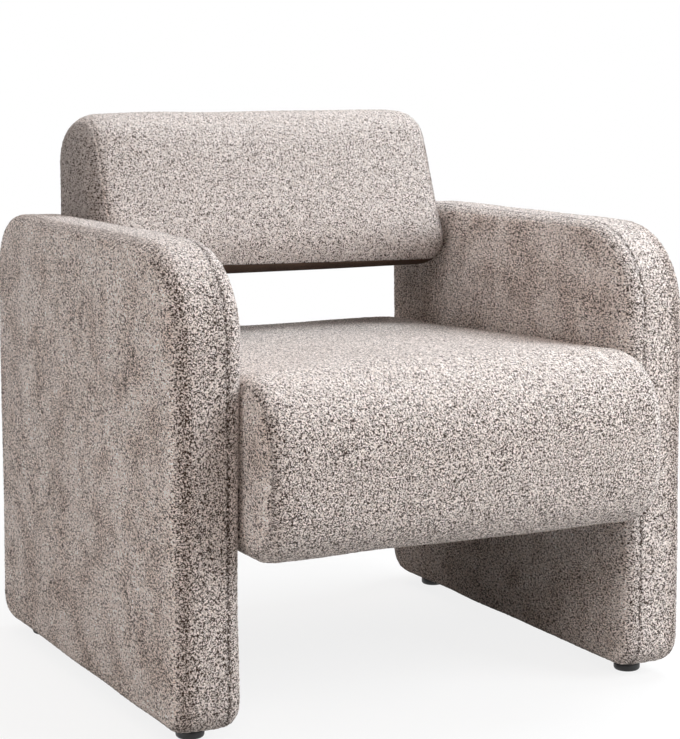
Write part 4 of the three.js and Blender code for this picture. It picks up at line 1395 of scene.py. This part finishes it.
class CHAIR_OT_base_cloths(bpy.types.Operator):
    """Stretches the thin cloths under the arms and the seat, and staples them"""

    bl_idname = "chair.base_cloths"
    bl_label = "Add Base Cloths"

    def execute(self, context):
        cloth = context.scene.chair_cloth
        self.add_cloth(cloth, "seat", "seat_base_cloth", "seat_upholstery", cloth.sag)
        for hand in HANDS:
            self.add_cloth(
                cloth, f"{hand}_arm", f"{hand}_arm_base_cloth", f"{hand}_arm_upholstery", cloth.sag / 5)
        return {"FINISHED"}

    def add_cloth(self, cloth, name, node, cover, sag):
        """One cloth, which hangs down by sag in its middle and lies in its bed at the edge."""
        low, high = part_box(node)
        size = Vector((high.x - low.x, high.y - low.y, 0)) + Vector((cloth.margin, cloth.margin, 0))
        middle = (low + high) / 2
        clearance = 0.0004
        shape = bmesh.new()
        bmesh.ops.create_grid(shape, x_segments=18, y_segments=36, size=0.5)
        for vert in shape.verts:
            across, along = vert.co.x * 2, vert.co.y * 2
            drop = sag * (1 - across ** 4) * (1 - along ** 4)
            vert.co = (
                middle.x + vert.co.x * size.x,
                middle.y + vert.co.y * size.y,
                low.z + cloth.thickness + clearance - drop)
        piece = new_piece(f"{name}_dust_cloth", shape)
        thicken(piece, cloth.thickness, offset=0)
        finish_piece(piece, "lining", "lining_z", node)
        self.add_staples(cloth, name, middle, size, low.z)

    def add_staples(self, cloth, name, middle, size, height):
        """A row of staples along each edge of a cloth, at height."""
        length, width, thickness, edge_distance = 0.010, 0.0012, 0.0007, 0.007
        sunk = 0.0001
        shape = bmesh.new()
        for axis, other in ((0, 1), (1, 0)):
            count = max(2, round(size[axis] / cloth.staple_step))
            for side in (-1, 1):
                for number in range(count):
                    made = bmesh.ops.create_cube(shape, size=1.0)["verts"]
                    bar = Vector((width, width, thickness))
                    bar[axis] = length
                    bmesh.ops.scale(shape, verts=made, vec=bar)
                    place = Vector((middle.x, middle.y, height - sunk))
                    place[axis] += size[axis] * ((number + 0.5) / count - 0.5)
                    place[other] += side * (size[other] / 2 - edge_distance)
                    bmesh.ops.translate(shape, verts=made, vec=place)
        bmesh.ops.bevel(
            shape, geom=shape.edges[:], offset=0.0002, segments=1, profile=0.5, affect="EDGES",
            material=-1)
        piece = new_piece(f"{name}_staples", shape)
        finish_piece(piece, "zinc_steel", "zinc_steel")


class CHAIR_OT_glides(bpy.types.Operator):
    """Turns the four glides with their round feet and stems"""

    bl_idname = "chair.glides"
    bl_label = "Turn Glides"

    def execute(self, context):
        glide = context.scene.chair_glide
        for hand in HANDS:
            for end in ("front", "rear"):
                self.add_glide(glide, f"{hand}_{end}_glide")
        return {"FINISHED"}

    def add_glide(self, glide, node):
        """One glide, spun from a profile of distances from its axis and heights."""
        low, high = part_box(node)
        centre = (low + high) / 2
        radius = (high.x - low.x) / 2
        top = high.z - low.z
        dish = 0.0008
        dish_radius, dish_rim = radius * 0.30, radius * 0.36
        rim = 0.0012
        tip = 0.001
        collar, collar_height = 0.003, 0.002
        groove = glide.foot_height * 0.62
        groove_half = 0.0008
        round_points = 6
        turn = [math.pi / 2 * step / round_points for step in range(round_points + 1)]
        profile = [(0.0, dish), (dish_radius, dish), (dish_rim, 0.0)]
        profile += [
            (radius - glide.edge_radius * (1 - math.sin(angle)), glide.edge_radius * (1 - math.cos(angle)))
            for angle in turn]
        profile += [
            (radius, groove - groove_half), (radius - glide.groove_depth, groove),
            (radius, groove + groove_half), (radius, glide.foot_height - rim),
            (radius - rim, glide.foot_height), (glide.stem_radius + collar, glide.foot_height),
            (glide.stem_radius, glide.foot_height + collar_height), (glide.stem_radius, top - tip),
            (glide.stem_radius - tip, top), (0.0, top)]
        shape = bmesh.new()
        verts = [
            shape.verts.new((centre.x + out, centre.y, low.z + height)) for out, height in profile]
        edges = [shape.edges.new(pair) for pair in zip(verts, verts[1:])]
        bmesh.ops.spin(
            shape, geom=verts + edges, cent=centre, axis=(0, 0, 1), angle=2 * math.pi, steps=48,
            use_merge=True, use_duplicate=False)
        bmesh.ops.remove_doubles(shape, verts=shape.verts[:], dist=0.000005)
        piece = new_piece(f"{node}_foot", shape)
        finish_piece(piece, "black_plastic", "black_plastic", node)
        piece.data.set_sharp_from_angle(angle=math.radians(50))


class CHAIR_OT_stage(bpy.types.Operator):
    """Sets the camera, the lamps, the room light and the pale floor"""

    bl_idname = "chair.stage"
    bl_label = "Set Stage"

    def execute(self, context):
        stage = context.scene.chair_stage
        context.scene.view_settings.view_transform = "Standard"
        set_camera(context.scene, stage)
        set_room(context.scene, stage)
        set_floor(stage)
        for name in LAMPS:
            set_lamp(context.scene, stage, name)
        return {"FINISHED"}


# Stage helpers

def set_camera(scene, stage):
    """A camera where the photograph was taken from. Its shift puts the camera's axis on its pixel."""
    data = bpy.data.cameras.new("camera")
    data.sensor_width = SENSOR_WIDTH
    data.lens = stage.lens
    data.shift_x = (PICTURE_WIDTH / 2 - stage.axis_column) / PICTURE_HEIGHT
    data.shift_y = (stage.axis_row - PICTURE_HEIGHT / 2) / PICTURE_HEIGHT
    camera = bpy.data.objects.new("camera", data)
    camera.location = stage.camera_place
    camera.rotation_euler = (math.pi / 2 - stage.pitch, 0, stage.azimuth)
    scene.collection.objects.link(camera)
    scene.camera = camera


def seen_directly(tree):
    """1 for rays that show the background itself: from the camera, in a gloss or through glass."""
    path = tree.nodes.new("ShaderNodeLightPath").outputs
    either = math_node(tree, "MAXIMUM", path["Is Camera Ray"], path["Is Glossy Ray"])
    return math_node(tree, "MAXIMUM", either, path["Is Transmission Ray"])


def set_room(scene, stage):
    """White where it is seen, and an even weaker light on the chair."""
    world = bpy.data.worlds.new("room")
    world.use_nodes = True
    scene.world = world
    tree = world.node_tree
    background = tree.nodes["Background"]
    background.inputs["Color"].default_value = (1, 1, 1, 1)
    strength = ramp_node(tree, seen_directly(tree), 0.0, 1.0, stage.room_light, 1.0, smooth=False)
    link(tree, strength, background.inputs["Strength"])


def set_floor(stage):
    """A wide floor that looks white and still takes the chair's soft shadow."""
    shape = bmesh.new()
    bmesh.ops.create_circle(shape, cap_ends=True, radius=9.0, segments=96)
    floor = new_piece("floor", shape)
    material, tree, shader, place = new_material("pale_floor")
    direct = seen_directly(tree)
    link(tree, mix_node(tree, direct, stage.floor, stage.seen_floor), shader.inputs["Base Color"])
    shader.inputs["Roughness"].default_value = 0.9
    white = tree.nodes.new("ShaderNodeEmission")
    white.inputs["Strength"].default_value = 1.0
    away = vector_node(tree, "LENGTH", place)
    plain = ramp_node(tree, away, stage.shadow_reach / 3, stage.shadow_reach, 1 - stage.shadow, 1.0)
    mixed = tree.nodes.new("ShaderNodeMixShader")
    link(tree, math_node(tree, "MULTIPLY", direct, plain), mixed.inputs[0])
    link(tree, shader.outputs[0], mixed.inputs[1])
    link(tree, white.outputs[0], mixed.inputs[2])
    link(tree, mixed.outputs[0], tree.nodes["Material Output"].inputs["Surface"])
    floor.data.materials.append(material)


def set_lamp(scene, stage, name):
    """A square soft lamp that faces the chair."""
    turn, height, distance, size, tint = LAMPS[name]
    data = bpy.data.lights.new(f"{name}_lamp", "AREA")
    data.shape = "SQUARE"
    data.size = size
    data.color = tint
    data.energy = getattr(stage, f"{name}_power")
    flat = math.cos(math.radians(height))
    away = Vector((
        math.sin(math.radians(turn)) * flat, -math.cos(math.radians(turn)) * flat,
        math.sin(math.radians(height))))
    lamp = bpy.data.objects.new(data.name, data)
    lamp.location = LAMP_TARGET + away * distance
    lamp.rotation_mode = "QUATERNION"
    lamp.rotation_quaternion = (-away).to_track_quat("-Z", "Y")
    scene.collection.objects.link(lamp)


# Panel and registration

class CHAIR_PT_panel(bpy.types.Panel):
    """The chair's settings and its steps in order"""

    bl_idname = "CHAIR_PT_panel"
    bl_label = "Boucle Tub Chair"
    bl_space_type = "VIEW_3D"
    bl_region_type = "UI"
    bl_category = "Chair"

    def draw(self, context):
        for name, group in SETTINGS.items():
            box = self.layout.box()
            for prop in group.__annotations__:
                box.prop(getattr(context.scene, name), prop)
        for step in STEPS:
            self.layout.operator(step.bl_idname)


SETTINGS = {
    "chair_arm": ArmSettings,
    "chair_seat": SeatSettings,
    "chair_back": BackSettings,
    "chair_cloth": ClothSettings,
    "chair_glide": GlideSettings,
    "chair_padding": PaddingSettings,
    "chair_boucle": BoucleSettings,
    "chair_stage": StageSettings,
}
STEPS = (
    CHAIR_OT_stage,
    CHAIR_OT_materials,
    CHAIR_OT_frame_finishes,
    CHAIR_OT_foams,
    CHAIR_OT_arms,
    CHAIR_OT_seat,
    CHAIR_OT_back,
    CHAIR_OT_base_cloths,
    CHAIR_OT_glides,
)


def register():
    for name, group in SETTINGS.items():
        bpy.utils.register_class(group)
        setattr(bpy.types.Scene, name, PointerProperty(type=group))
    for step in STEPS:
        bpy.utils.register_class(step)
    bpy.utils.register_class(CHAIR_PT_panel)


def unregister():
    bpy.utils.unregister_class(CHAIR_PT_panel)
    for step in reversed(STEPS):
        bpy.utils.unregister_class(step)
    for name, group in reversed(SETTINGS.items()):
        delattr(bpy.types.Scene, name)
        bpy.utils.unregister_class(group)


def main():
    register()
    for step in STEPS:
        group, name = step.bl_idname.split(".")
        getattr(getattr(bpy.ops, group), name)()


if __name__ == "__main__":
    main()
